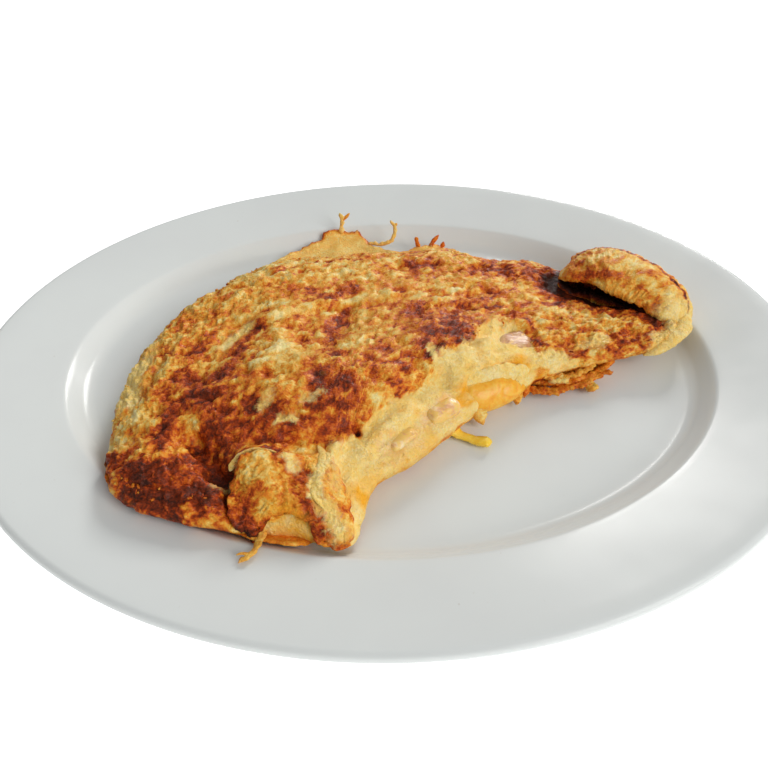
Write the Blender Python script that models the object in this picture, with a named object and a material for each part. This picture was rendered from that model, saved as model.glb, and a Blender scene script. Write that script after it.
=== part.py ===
"""A folded omelette with a cheese and ham filling, on an oval porcelain plate.

The plate stands on its foot ring at z = 0, its long axis along X. The omelette lies across the well:
one sheet of egg folded over its filling, with the fold towards -Y and the round, open edge towards +Y.
The upper layer is the thick body, the lower one a thin sheet that shows behind it and under its front.
At the +X end the sheet's edge stands up and rolls forward over a hollow, and in the middle of the fold
the egg is torn, so that melted cheese and ham show.

Run it with: blender --background --python part.py
"""

import math

import bmesh
import bpy
import numpy as np
from mathutils import Vector

MM = 0.001
GAP = 0.3 * MM  # left between pieces that touch

# Plate: every ring is an ellipse, set in from the outer one by the same amount all round.
PLATE_HALF_LENGTH = 160 * MM
PLATE_HALF_WIDTH = 131 * MM
PLATE_HEIGHT = 21.5 * MM
RIM_WIDTH = 33.5 * MM
WELL_EDGE_HEIGHT = 15.4 * MM
FLOOR_INSET = 46 * MM
FLOOR_HEIGHT = 8 * MM
BASE_HEIGHT = 3 * MM
FOOT_INSET = 50 * MM
FOOT_WIDTH = 4 * MM
PLATE_SEGMENTS = 60

# Top side of the plate from the lip to the floor: (inset, height).
PLATE_TOP = [
    (0.0, PLATE_HEIGHT - 2.0 * MM),
    (0.6 * MM, PLATE_HEIGHT - 0.7 * MM),
    (2.0 * MM, PLATE_HEIGHT),
    (6.0 * MM, PLATE_HEIGHT - 0.6 * MM),
    (RIM_WIDTH - 2.0 * MM, WELL_EDGE_HEIGHT + 0.3 * MM),
    (RIM_WIDTH, WELL_EDGE_HEIGHT - 0.2 * MM),
    (RIM_WIDTH + 1.4 * MM, WELL_EDGE_HEIGHT - 1.4 * MM),
    (RIM_WIDTH + 5.6 * MM, FLOOR_HEIGHT + 1.6 * MM),
    (RIM_WIDTH + 8.4 * MM, FLOOR_HEIGHT + 0.35 * MM),
    (FLOOR_INSET, FLOOR_HEIGHT),
]
# Underside from the lip to the base inside the foot ring.
PLATE_UNDER = [
    (0.5 * MM, PLATE_HEIGHT - 3.2 * MM),
    (1.8 * MM, PLATE_HEIGHT - 4.0 * MM),
    (RIM_WIDTH - 1.0 * MM, WELL_EDGE_HEIGHT - 4.4 * MM),
    (RIM_WIDTH + 4.0 * MM, WELL_EDGE_HEIGHT - 9.0 * MM),
    (FOOT_INSET - 2.5 * MM, BASE_HEIGHT),
    (FOOT_INSET - 0.6 * MM, 0.5 * MM),
    (FOOT_INSET, 0.0),
    (FOOT_INSET + FOOT_WIDTH, 0.0),
    (FOOT_INSET + FOOT_WIDTH + 0.6 * MM, 0.5 * MM),
    (FOOT_INSET + FOOT_WIDTH + 1.5 * MM, BASE_HEIGHT),
]

# Upper layer, seen from above, its four sides running anticlockwise round it. Each row is
# (x, y, height of the widest line above the plate, width over which the side rolls into the top), mm.
BODY_SIDES = {
    "front": [
        (-94, -70, 6, 16),
        (-84, -80, 5, 16),
        (-68, -85, 5, 16),
        (-50, -87, 5, 15),
        (-34, -87, 6, 14),
        (-18, -90, 3, 16),
        (-11, -84, 4, 20),
        (-7, -71, 8, 26),
        (7, -60, 9, 26),
        (20, -48, 9, 26),
        (32, -36, 9, 22),
        (46, -28, 9, 18),
        (60, -19, 9, 13),
        (80, -13, 9, 10),
    ],
    "right": [
        (101, -8, 10, 9),
        (112, -4, 11, 9),
        (118, 4, 12, 8),
    ],
    "back": [
        (118, 15, 11, 8),
        (110, 31, 10, 9),
        (96, 42, 9, 10),
        (79, 48, 9, 10),
        (63, 57, 8, 11),
        (44, 60, 7, 12),
        (26, 70, 6, 16),
        (6, 68, 6, 20),
        (-22, 69, 5, 24),
        (-54, 63, 5, 26),
        (-75, 44, 5, 24),
        (-89, 25, 6, 22),
    ],
    "left": [
        (-97, 4, 6, 20),
        (-101, -14, 6, 18),
        (-101, -34, 6, 16),
        (-99, -53, 6, 16),
    ],
}
BODY_GRID = (42, 20)
BODY_UNDERSIDE_ROLL = 7 * MM

# How far the underside of the right-hand lobe stands clear of the plate: (x, clearance), mm.
BODY_CLEARANCE = [(44, 0), (60, 4), (90, 5), (112, 6)]

# Lower layer: a thin sheet on the plate, its four sides running anticlockwise, mm.
SHEET_SIDES = {
    "front": [
        (-86, -62),
        (-70, -76),
        (-50, -87),
        (-36, -91),
        (-26, -88),
        (-12, -66),
        (18, -46),
        (40, -29),
        (52, -22),
        (62, -21),
        (73, -19),
    ],
    "right": [
        (83, -15),
        (90, -4),
        (92, 14),
    ],
    "back": [
        (86, 30),
        (66, 48),
        (46, 63),
        (32, 80),
        (18, 82),
        (5, 75),
        (-6, 84),
        (-21, 95),
        (-38, 86),
        (-58, 66),
        (-76, 36),
    ],
    "left": [
        (-88, 14),
        (-94, -14),
        (-94, -40),
    ],
}
SHEET_THICKNESS = 3.4 * MM
SHEET_GRID = (28, 8)

# Height of the upper layer's crown above the well's floor: a base, then mounds and hollows, each
# (x, y, radius along X, radius along Y, height), mm.
CROWN_BASE = 14
CROWN_MOUNDS = [
    (-50, -40, 40, 34, 8),
    (-14, -34, 34, 26, 9),
    (24, -12, 30, 24, 8),
    (-40, 24, 40, 34, 4),
    (20, 34, 34, 26, 2),
    (-78, -66, 20, 12, 3),
    (84, 4, 24, 12, 1),
    (98, 32, 22, 13, -6),
]

# Ridges and grooves in the upper layer: (half width, height, line across the top as (x, y)), mm.
FOLDS = [
    (4, -2.2, [(-24, -62), (-10, -53), (4, -43), (18, -33)]),  # where the browned top ends at the fold
    (4, 2.0, [(-17, -62), (-20, -70), (-22, -82)]),  # pleat beside the fold's corner
    (5, -4.5, [(-68, -58), (-62, -64), (-57, -70)]),  # pit in the left-hand end
    (4, -3.5, [(-53, -72), (-49, -79), (-47, -86)]),  # groove beside the flap
    (4, 2.5, [(-48, -68), (-41, -66), (-34, -69)]),  # the flap's upper lip
    (5, 2.0, [(-41, -70), (-38, -80), (-30, -84)]),  # the flap's left-hand side
    (9, 2.5, [(-82, -75), (-70, -76), (-59, -80)]),  # swelling at the left-hand front
    (6, -1.6, [(-68, -28), (-63, -10), (-58, 4)]),
    (5, -1.4, [(-22, -20), (-19, 4), (-17, 20)]),
    (6, 1.6, [(-46, -26), (-42, -8), (-40, 6)]),
    (4, 1.4, [(-48, 6), (-36, 15), (-18, 22), (6, 26)]),
    (5, 1.6, [(18, -27), (30, -20), (44, -14)]),  # swelling over the tear
    (5, -1.4, [(52, 38), (60, 28), (70, 22)]),
]

# The edge that stands up and rolls forward at the right: its hollow's axis (x, y, height above the
# table), with the half width and half height of the hollow there, mm.
CURL_AXIS = [
    (71, 42, 22, 2, 1.5),
    (78, 38, 22.5, 7, 4.5),
    (87, 37, 23.5, 11, 6.5),
    (97, 33, 23.5, 13, 7.5),
    (107, 25, 22.5, 11.5, 6.5),
    (114, 15, 21, 8.5, 5),
    (118, 6, 20, 3, 1.5),
]
CURL_THICKNESS = 3.4 * MM
CURL_FREE_EDGE = math.radians(25)
CURL_ROOT = math.radians(295)
CURL_GRID = (14, 11)

# Filling between the layers: its sides run anticlockwise, and its front comes out at the tear, mm.
FILLING_SIDES = {
    "front": [
        (-66, -60),
        (-40, -68),
        (-16, -58),
        (8, -42),
        (22, -36),
        (30, -38),
        (40, -35),
    ],
    "right": [
        (50, -28),
        (55, -18),
        (62, 0),
    ],
    "back": [
        (50, 24),
        (20, 42),
        (-14, 46),
        (-44, 36),
    ],
    "left": [
        (-66, 10),
        (-80, -20),
        (-80, -44),
    ],
}
FILLING_GRID = (20, 9)
FILLING_TOP = [(-80, 13), (0, 15), (30, 16), (44, 15), (62, 9)]  # (x, height above the floor), mm
FILLING_BOTTOM = [(-80, 5), (10, 5), (28, 1.5), (46, 1.5), (62, 5)]  # (x, height above the floor), mm
FILLING_WIDEST = 8 * MM
FILLING_ROLL = 8 * MM

# Cheese that ran out on the plate: (x, y, height of its middle above the table, half width), mm.
DRIP = [(20, -33, 16, 5), (24, -38, 11.5, 3.5), (28, -42, 10, 2.2), (32, -45, 10, 1.8), (36, -46, 10, 2.6)]
DRIP_HALF_HEIGHT = 1.5 * MM

# Ham in the filling: centre, size, and turn about Z; x, y above the plate and height above the table, mm.
HAM = [
    ((3, -53, 19.5), (16, 9, 9), 42),
    ((18, -41.5, 21.5), (15, 8, 8), 36),
    ((48, -7, 23.5), (14, 12, 5), 12),
]


def clear_scene():
    """Removes every object that the file starts with."""
    for thing in list(bpy.data.objects):
        bpy.data.objects.remove(thing)


def collection(name, hidden=False):
    """A new collection in the scene."""
    made = bpy.data.collections.new(name)
    bpy.context.scene.collection.children.link(made)
    made.hide_render = hidden
    return made


def material(name, colour, roughness):
    """A plain Principled material."""
    made = bpy.data.materials.new(name)
    made.use_nodes = True
    shader = made.node_tree.nodes["Principled BSDF"]
    shader.inputs["Base Color"].default_value = (*colour, 1.0)
    shader.inputs["Roughness"].default_value = roughness
    shader.inputs["Metallic"].default_value = 0.0
    return made


def new_object(name, mesh, into, finish=None):
    """An object for the mesh, in a collection, with its material."""
    made = bpy.data.objects.new(name, mesh)
    into.objects.link(made)
    if finish:
        mesh.materials.append(finish)
    mesh.shade_smooth()
    return made


def ring_mesh(name, rings):
    """A closed mesh through rings of points, each end closed by one face."""
    shape = bmesh.new()
    loops = [[shape.verts.new(point) for point in ring] for ring in rings]
    for one, other in zip(loops, loops[1:]):
        for i in range(len(one)):
            j = (i + 1) % len(one)
            shape.faces.new((one[i], other[i], other[j], one[j]))
    shape.faces.new(loops[0])
    shape.faces.new(list(reversed(loops[-1])))
    bmesh.ops.recalc_face_normals(shape, faces=shape.faces)
    mesh = bpy.data.meshes.new(name)
    shape.to_mesh(mesh)
    shape.free()
    return mesh


def make_plate(into, finish):
    """The plate, lofted through its elliptical rings from the floor over the lip to the base."""
    turns = [math.tau * i / PLATE_SEGMENTS for i in range(PLATE_SEGMENTS)]
    rings = []
    for inset, height in list(reversed(PLATE_TOP)) + PLATE_UNDER:
        length, width = PLATE_HALF_LENGTH - inset, PLATE_HALF_WIDTH - inset
        rings.append([(length * math.cos(a), width * math.sin(a), height) for a in turns])
    return new_object("plate", ring_mesh("plate", rings), into, finish)


def plate_top(plan):
    """Height of the plate's upper side under each (x, y) of an array."""
    x, y = np.abs(plan[..., 0]), np.abs(plan[..., 1])
    low, high = np.zeros(x.shape), np.full(x.shape, FLOOR_INSET)
    for _ in range(24):
        inset = (low + high) / 2
        inside = (x / (PLATE_HALF_LENGTH - inset)) ** 2 + (y / (PLATE_HALF_WIDTH - inset)) ** 2 < 1
        low = np.where(inside, inset, low)
        high = np.where(inside, high, inset)
    insets, heights = np.array(PLATE_TOP).T
    return np.interp(low, insets, heights)


def curve(rows, steps=24, closed=False):
    """A fine Catmull-Rom curve through the rows."""
    rows = np.array(rows, float)
    if closed:
        padded = np.vstack([rows[-1:], rows, rows[:2]])
    else:
        padded = np.vstack([2 * rows[0] - rows[1], rows, 2 * rows[-1] - rows[-2]])
    t = np.linspace(0, 1, steps, endpoint=False)[:, None]
    pieces = []
    for a, b, c, d in zip(padded, padded[1:], padded[2:], padded[3:]):
        bend = 2 * a - 5 * b + 4 * c - d
        pieces.append(0.5 * (2 * b + (c - a) * t + bend * t**2 + (3 * b - a - 3 * c + d) * t**3))
    return np.concatenate(pieces if closed else pieces + [rows[-1:]])


def resampled(points, shares):
    """Rows of a fine curve at these shares of its length in plan."""
    along = np.concatenate([[0], np.cumsum(np.hypot(*np.diff(points[:, :2], axis=0).T))])
    return np.stack([np.interp(shares * along[-1], along, column) for column in points.T], 1)


def eased(count, crowding=0.6):
    """Shares from 0 to 1, closer together towards both ends."""
    t = np.linspace(0, 1, count)
    return t - crowding * np.sin(math.tau * t) / math.tau


class Patch:
    """A four-sided stretch of the plan, filled by a grid that follows its sides."""

    def __init__(self, sides, grid):
        """Takes sides as lists of rows in mm and the grid's columns and rows."""
        steps = 24
        loop = curve([row for side in sides.values() for row in side], steps, closed=True) * MM
        starts = np.cumsum([0] + [len(side) * steps for side in sides.values()])
        loop = np.vstack([loop, loop[:1]])
        front, right, back, left = (loop[a : b + 1] for a, b in zip(starts, starts[1:]))
        across, up = eased(grid[0]), eased(grid[1])
        front, back = resampled(front, across), resampled(back[::-1], across)
        right, left = resampled(right, up), resampled(left[::-1], up)
        s, t = across[:, None, None], up[None, :, None]
        corners = (1 - s) * ((1 - t) * front[0] + t * back[0]) + s * ((1 - t) * front[-1] + t * back[-1])
        filled = (1 - t) * front[:, None] + t * back[:, None] + (1 - s) * left[None] + s * right[None]
        self.outline = loop[:-1]
        self.plan = filled - corners
        self.plan[:, 0], self.plan[:, -1], self.plan[0], self.plan[-1] = front, back, left, right

    def edge(self):
        """For each grid point, its distance to the outline and the outline's row nearest to it."""
        plan = self.plan[..., None, :2]
        apart = np.hypot(*np.moveaxis(plan - self.outline[:, :2], -1, 0))
        near = apart.argmin(-1)
        distance = apart.min(-1)
        distance[:, [0, -1]] = 0
        distance[[0, -1]] = 0
        return distance, self.outline[near]

    def mesh(self, name, top, bottom):
        """A closed mesh between two arrays of heights that agree along the sides."""
        columns, rows = top.shape
        shape = bmesh.new()
        points = np.dstack([self.plan[..., :2], top])
        upper = [[shape.verts.new(point) for point in line] for line in points]
        lower = [list(line) for line in upper]
        for i in range(1, columns - 1):
            for j in range(1, rows - 1):
                lower[i][j] = shape.verts.new((*self.plan[i, j, :2], bottom[i, j]))
        for i in range(columns - 1):
            for j in range(rows - 1):
                for side, turn in ((upper, 1), (lower, -1)):
                    corners = (side[i][j], side[i + 1][j], side[i + 1][j + 1], side[i][j + 1])
                    shape.faces.new(corners[::turn])
        mesh = bpy.data.meshes.new(name)
        shape.to_mesh(mesh)
        shape.free()
        return mesh


def rolled(distance, width, power=2.0):
    """From 0 at an edge to 1 at width inside it, along a rounded corner of that power."""
    share = np.clip(distance / width, 0, 1)
    return (1 - (1 - share) ** power) ** (1 / power)


def crown(plan):
    """Height of the omelette's top above the table, before its sides roll down."""
    height = np.full(plan.shape[:-1], FLOOR_HEIGHT + CROWN_BASE * MM)
    for x, y, along, across, rise in CROWN_MOUNDS:
        dx, dy = plan[..., 0] / MM - x, plan[..., 1] / MM - y
        height += rise * MM * np.exp(-((dx / along) ** 2) - (dy / across) ** 2)
    return height


def folds(plan):
    """What the ridges and grooves add to the top's height."""
    height = np.zeros(plan.shape[:-1])
    for half_width, rise, line in FOLDS:
        path = resampled(curve(line) * MM, np.linspace(0, 1, 25))
        apart = np.hypot(*np.moveaxis(plan[..., None, :2] - path, -1, 0)).min(-1)
        height += rise * MM * np.exp(-((apart / (half_width * MM)) ** 2))
    return height


def make_body(into, finish):
    """The thick upper layer with its rolled sides."""
    patch = Patch(BODY_SIDES, BODY_GRID)
    distance, near = patch.edge()
    resting = plate_top(patch.plan)
    edge = plate_top(near) + near[..., 2]
    clearance = np.interp(patch.plan[..., 0], *(np.array(BODY_CLEARANCE).T * MM))
    under = np.minimum(resting + GAP + clearance, edge)
    peak = np.maximum(crown(patch.plan) + folds(patch.plan), edge)
    top = edge + (peak - edge) * rolled(distance, near[..., 3])
    bottom = edge - (edge - under) * rolled(distance, BODY_UNDERSIDE_ROLL)
    return new_object("egg", patch.mesh("egg", top, bottom), into, finish)


def make_sheet(into):
    """The thin lower layer, which follows the plate."""
    patch = Patch(SHEET_SIDES, SHEET_GRID)
    distance, near = patch.edge()
    resting = plate_top(patch.plan) + GAP
    middle = plate_top(near) + GAP + SHEET_THICKNESS / 2
    thick = rolled(distance, SHEET_THICKNESS)
    top = middle + (resting + SHEET_THICKNESS - middle) * thick
    bottom = middle + (resting - middle) * thick
    return new_object("egg_sheet", patch.mesh("egg_sheet", top, bottom), into)


def make_curl(into):
    """The edge that stands up behind the right-hand lobe and rolls forward, as a loft of hooks."""
    stations, steps = CURL_GRID
    axis = resampled(curve(CURL_AXIS) * MM, np.linspace(0, 1, stations))
    ahead = np.gradient(axis[:, :2], axis=0)
    ahead /= np.linalg.norm(ahead, axis=1)[:, None]
    turns = np.linspace(CURL_FREE_EDGE, CURL_ROOT, steps)
    rings = []
    for (x, y, z, wide, high), (ax, ay) in zip(axis, ahead):
        ring = []
        thick = min(CURL_THICKNESS, high)
        for grown, order in ((thick, turns), (0.0, turns[::-1])):
            for turn in order:
                out = -(wide + grown) * math.cos(turn)
                rise = (high + grown) * math.sin(turn)
                ring.append((x - ay * out, y + ax * out, z + rise))
        rings.append(ring)
    return new_object("egg_curl", ring_mesh("egg_curl", rings), into)


def make_filling(name, into, grown, finish=None):
    """The cheese between the layers, grown all round by an amount."""
    patch = Patch(FILLING_SIDES, FILLING_GRID)
    distance, _ = patch.edge()
    x, heights = np.array(FILLING_TOP).T * MM
    x_low, lows = np.array(FILLING_BOTTOM).T * MM
    middle = FLOOR_HEIGHT + FILLING_WIDEST
    rise = rolled(distance, FILLING_ROLL)
    top = middle + (FLOOR_HEIGHT + np.interp(patch.plan[..., 0], x, heights) - middle) * rise
    bottom = middle + (FLOOR_HEIGHT + np.interp(patch.plan[..., 0], x_low, lows) - middle) * rise
    mesh = patch.mesh(name, top, bottom)
    if grown:
        shape = bmesh.new()
        shape.from_mesh(mesh)
        shape.normal_update()
        moved = [vert.co + vert.normal * grown for vert in shape.verts]
        for vert, place in zip(shape.verts, moved):
            vert.co = place
        shape.to_mesh(mesh)
        shape.free()
    return new_object(name, mesh, into, finish)


def make_drip(name, into, grown):
    """The tongue of cheese on the plate, a row of flat ovals, grown all round by an amount."""
    path = resampled(curve(DRIP) * MM, np.linspace(0, 1, 9))
    ahead = np.gradient(path[:, :2], axis=0)
    ahead /= np.linalg.norm(ahead, axis=1)[:, None]
    rings = []
    for (x, y, middle, half), (ax, ay) in zip(path, ahead):
        ring = []
        for turn in np.linspace(0, math.tau, 10, endpoint=False):
            out = (half + grown) * math.cos(turn)
            rise = (DRIP_HALF_HEIGHT + grown) * math.sin(turn)
            ring.append((x - ay * out, y + ax * out, middle + rise))
        rings.append(ring)
    return new_object(name, ring_mesh(name, rings), into)


def make_block(name, centre, size, turn, into, grown=0.0, finish=None):
    """A soft-edged block of ham."""
    shape = bmesh.new()
    bmesh.ops.create_cube(shape, size=1.0)
    for vert in shape.verts:
        vert.co = Vector([c * (s * MM + 2 * grown) for c, s in zip(vert.co, size)])
    bmesh.ops.bevel(
        shape,
        geom=shape.edges[:],
        offset=0.32 * min(size) * MM,
        segments=3,
        profile=0.5,
        affect="EDGES",
    )
    mesh = bpy.data.meshes.new(name)
    shape.to_mesh(mesh)
    shape.free()
    made = new_object(name, mesh, into, finish)
    made.location = Vector(centre) * MM
    made.rotation_euler[2] = math.radians(turn)
    return made


def boolean(target, other, operation):
    """Adds an exact Boolean with another object to the target."""
    step = target.modifiers.new(operation.lower(), "BOOLEAN")
    step.operation = operation
    step.object = other
    step.solver = "EXACT"


def main():
    """Builds the plate and the omelette."""
    clear_scene()
    dish = collection("folded_omelette_on_plate")
    tools = collection("cutters", hidden=True)
    porcelain = material("porcelain", (0.80, 0.82, 0.82), 0.15)
    cooked_egg = material("cooked_egg", (0.80, 0.50, 0.17), 0.5)
    cheese = material("melted_cheese", (0.90, 0.55, 0.12), 0.35)
    meat = material("ham", (0.80, 0.50, 0.38), 0.45)
    make_plate(dish, porcelain)
    egg = make_body(dish, cooked_egg)
    filling = make_filling("cheese_filling", dish, 0.0, cheese)
    boolean(egg, make_sheet(tools), "UNION")
    boolean(egg, make_curl(tools), "UNION")
    filling_room = make_filling("filling_room", tools, GAP)
    boolean(filling, make_drip("drip", tools, 0.0), "UNION")
    boolean(filling_room, make_drip("drip_room", tools, GAP), "UNION")
    boolean(egg, filling_room, "DIFFERENCE")
    for number, (centre, size, turn) in enumerate(HAM, 1):
        make_block(f"ham_{number}", centre, size, turn, dish, finish=meat)
        room = make_block(f"ham_room_{number}", centre, size, turn, tools, grown=GAP)
        boolean(egg, room, "DIFFERENCE")
        boolean(filling, room, "DIFFERENCE")
    for helper in tools.objects:
        helper.hide_render = True
        helper.display_type = "WIRE"


main()
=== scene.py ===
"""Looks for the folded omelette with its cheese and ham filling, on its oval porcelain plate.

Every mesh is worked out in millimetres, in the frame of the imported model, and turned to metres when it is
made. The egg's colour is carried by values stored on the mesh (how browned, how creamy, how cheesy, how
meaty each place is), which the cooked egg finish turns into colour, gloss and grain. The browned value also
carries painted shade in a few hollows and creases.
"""

from __future__ import annotations

import itertools
import logging
import math
from dataclasses import dataclass, field
from enum import Enum

import bpy
import numpy as np
from mathutils import Matrix, Vector


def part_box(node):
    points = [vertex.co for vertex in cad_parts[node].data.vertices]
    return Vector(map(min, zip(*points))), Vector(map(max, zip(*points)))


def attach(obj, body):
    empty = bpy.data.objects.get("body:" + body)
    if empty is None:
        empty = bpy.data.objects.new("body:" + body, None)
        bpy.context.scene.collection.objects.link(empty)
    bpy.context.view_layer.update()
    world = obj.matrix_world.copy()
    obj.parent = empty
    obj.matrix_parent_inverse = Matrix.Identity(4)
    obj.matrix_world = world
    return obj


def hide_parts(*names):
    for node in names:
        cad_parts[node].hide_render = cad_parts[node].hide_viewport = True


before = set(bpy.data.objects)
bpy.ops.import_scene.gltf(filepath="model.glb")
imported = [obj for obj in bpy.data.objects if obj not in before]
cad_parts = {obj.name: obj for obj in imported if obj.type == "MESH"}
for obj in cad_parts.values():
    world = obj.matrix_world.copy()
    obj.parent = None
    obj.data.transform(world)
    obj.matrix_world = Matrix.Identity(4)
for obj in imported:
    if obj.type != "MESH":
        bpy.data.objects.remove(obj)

MM = 0.001
GAP = 0.3  # left between the egg and the plate, mm
CURVE_STEPS = 24  # points in each stretch of a smooth curve
TINY = 1e-9  # keeps a length of nothing from being divided by
LOG = logging.getLogger("omelette")

Array = np.ndarray
Object = bpy.types.Object
Material = bpy.types.Material
Socket = bpy.types.NodeSocket
Row = tuple[float, ...]  # what the numbers are is said where a row is used
Tone = tuple[float, float, float]  # red, green and blue, from 0 to 255
Line = tuple[tuple[float, float], ...]  # places on the plan, mm
Fold = tuple[float, float, Line]  # half width, rise and line, mm
Faces = list[tuple[int, ...]]

# which way the flat side of a strand faces
UPWARD = (0.12, 0.31, 0.94)
UPRIGHT = (0.3, 0.9, 0.2)
FORWARD = (0.2, -0.6, 0.75)


class Slot(Enum):
    """The record's material slots."""

    PORCELAIN = "porcelain"
    EGG = "cooked_egg"
    CHEESE = "melted_cheese"
    HAM = "ham"


class Look(Enum):
    """The values that an egg mesh carries, each from 0 to about 1."""

    # how browned a place is; at a few places it also carries painted shade, said where it is painted
    BROWNING_AND_SHADE = "browned"
    CREAMY = "creamy"
    CHEESY = "cheesy"
    MEATY = "meaty"


Looks = dict[Look, Array]


# ---- numbers and noise


def smooth_step(value: Array, low: float, high: float) -> Array:
    """Rises smoothly from 0 at low to 1 at high."""
    share = np.clip((value - low) / (high - low), 0, 1)
    return share * share * (3 - 2 * share)


def rolled(distance: Array, width: Array | float) -> Array:
    """Rises from 0 at an edge to 1 at width inside it, along a quarter of an ellipse."""
    share = np.clip(distance / width, 0, 1)
    return (1 - (1 - share) ** 2) ** 0.5


def curve(rows: list[Row], closed: bool = False) -> Array:
    """A fine smooth curve through rows of numbers.

    Args:
        rows: The rows that it passes through.
        closed: Whether the last row joins the first.

    Returns:
        The curve's points, one a row.
    """
    points = np.array(rows, float)
    if closed:
        longer = np.vstack([points[-1:], points, points[:2]])
    else:
        longer = np.vstack([2 * points[0] - points[1], points, 2 * points[-1] - points[-2]])
    t = np.linspace(0, 1, CURVE_STEPS, endpoint=False)[:, None]
    pieces = []
    for a, b, c, d in zip(longer, longer[1:], longer[2:], longer[3:]):
        bend = 2 * a - 5 * b + 4 * c - d
        pieces.append(0.5 * (2 * b + (c - a) * t + bend * t**2 + (3 * b - a - 3 * c + d) * t**3))
    return np.concatenate(pieces if closed else pieces + [points[-1:]])


def resampled(points: Array, shares: Array, axes: int = 2) -> Array:
    """Rows of a fine curve at given shares of its length.

    Args:
        points: The curve's points.
        shares: Shares of its length, from 0 to 1.
        axes: How many of X, Y and Z the length is measured in.

    Returns:
        One row for each share.
    """
    steps = np.linalg.norm(np.diff(points[:, :axes], axis=0), axis=1)
    along = np.concatenate([[0], np.cumsum(steps)])
    return np.stack([np.interp(shares * along[-1], along, column) for column in points.T], 1)


def eased(count: int, crowding: float) -> Array:
    """Shares from 0 to 1, closer together towards both ends."""
    t = np.linspace(0, 1, count)
    return t - crowding * np.sin(math.tau * t) / math.tau


class Grain:
    """Seeded gradient noise in three directions, the same on every run."""

    CELLS = 512
    STRENGTH = 1.6  # brings one layer to about -1 to 1
    FOLD = 3.2  # how steeply a ridge falls off
    SHIFT, RIDGE_SHIFT = 17.3, 31.7  # keep the layers apart, mm
    STIRS = (5.2, 91.7, 47.1)  # keep the stirring along X, Y and Z apart, mm

    def __init__(self, seed: int) -> None:
        """Draws the noise's directions.

        Args:
            seed: Which pattern to draw.
        """
        draw = np.random.default_rng(seed)
        self.order = draw.permutation(self.CELLS)
        ways = draw.normal(size=(self.CELLS, 3))
        self.ways = ways / np.linalg.norm(ways, axis=1)[:, None]

    def plain(self, points: Array, size: float | Row) -> Array:
        """One layer of noise.

        Args:
            points: Places in mm, with x, y and z last.
            size: The grain's size in mm, the same all round or along X, Y and Z.

        Returns:
            Values from about -1 to 1.
        """
        cells = points / np.array(size, float)
        base = np.floor(cells).astype(int)
        share = cells - base
        fade = share**3 * (share * (share * 6 - 15) + 10)
        total = np.zeros(points.shape[:-1])
        for corner in itertools.product((0, 1), repeat=3):
            at = base + corner
            key = self.order[at[..., 0] % self.CELLS]
            key = self.order[(key + at[..., 1]) % self.CELLS]
            key = self.order[(key + at[..., 2]) % self.CELLS]
            pull = (self.ways[key] * (share - corner)).sum(-1)
            total += pull * np.where(corner, fade, 1 - fade).prod(-1)
        return self.STRENGTH * total

    def layered(self, points: Array, size: float | Row, layers: int = 4, gain: float = 0.5) -> Array:
        """Noise on noise, each layer half the size of the one before.

        Args:
            points: Places in mm.
            size: The largest grain's size in mm.
            layers: How many layers.
            gain: How strong each layer is next to the one before.

        Returns:
            Values from about -1 to 1.
        """
        total, weight, scale = np.zeros(points.shape[:-1]), 1.0, np.array(size, float)
        for layer in range(layers):
            total += weight * self.plain(points + self.SHIFT * layer, scale)
            weight, scale = weight * gain, scale / 2
        return total

    def ridged(self, points: Array, size: float | Row, layers: int = 2) -> Array:
        """Noise folded into sharp ridges, as in a crinkled skin; each layer is half the one before.

        Args:
            points: Places in mm.
            size: The largest ridges' size in mm.
            layers: How many layers.

        Returns:
            Values from about -1 in the hollows to 1 on the ridges.
        """
        total, weight, scale = np.zeros(points.shape[:-1]), 1.0, np.array(size, float)
        for layer in range(layers):
            shifted = points + self.RIDGE_SHIFT * layer
            total += weight * (1 - self.FOLD * np.abs(self.plain(shifted, scale)))
            weight, scale = weight / 2, scale / 2
        return total

    def stirred(self, points: Array, size: float, reach: float) -> Array:
        """Moves points about by noise, so that patterns worked out from them turn ragged."""
        moved = [self.layered(points + shift, size, 2) for shift in self.STIRS]
        return points + reach * np.stack(moved, -1)


GRAIN = Grain(42)


# ---- the plate's shape


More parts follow.
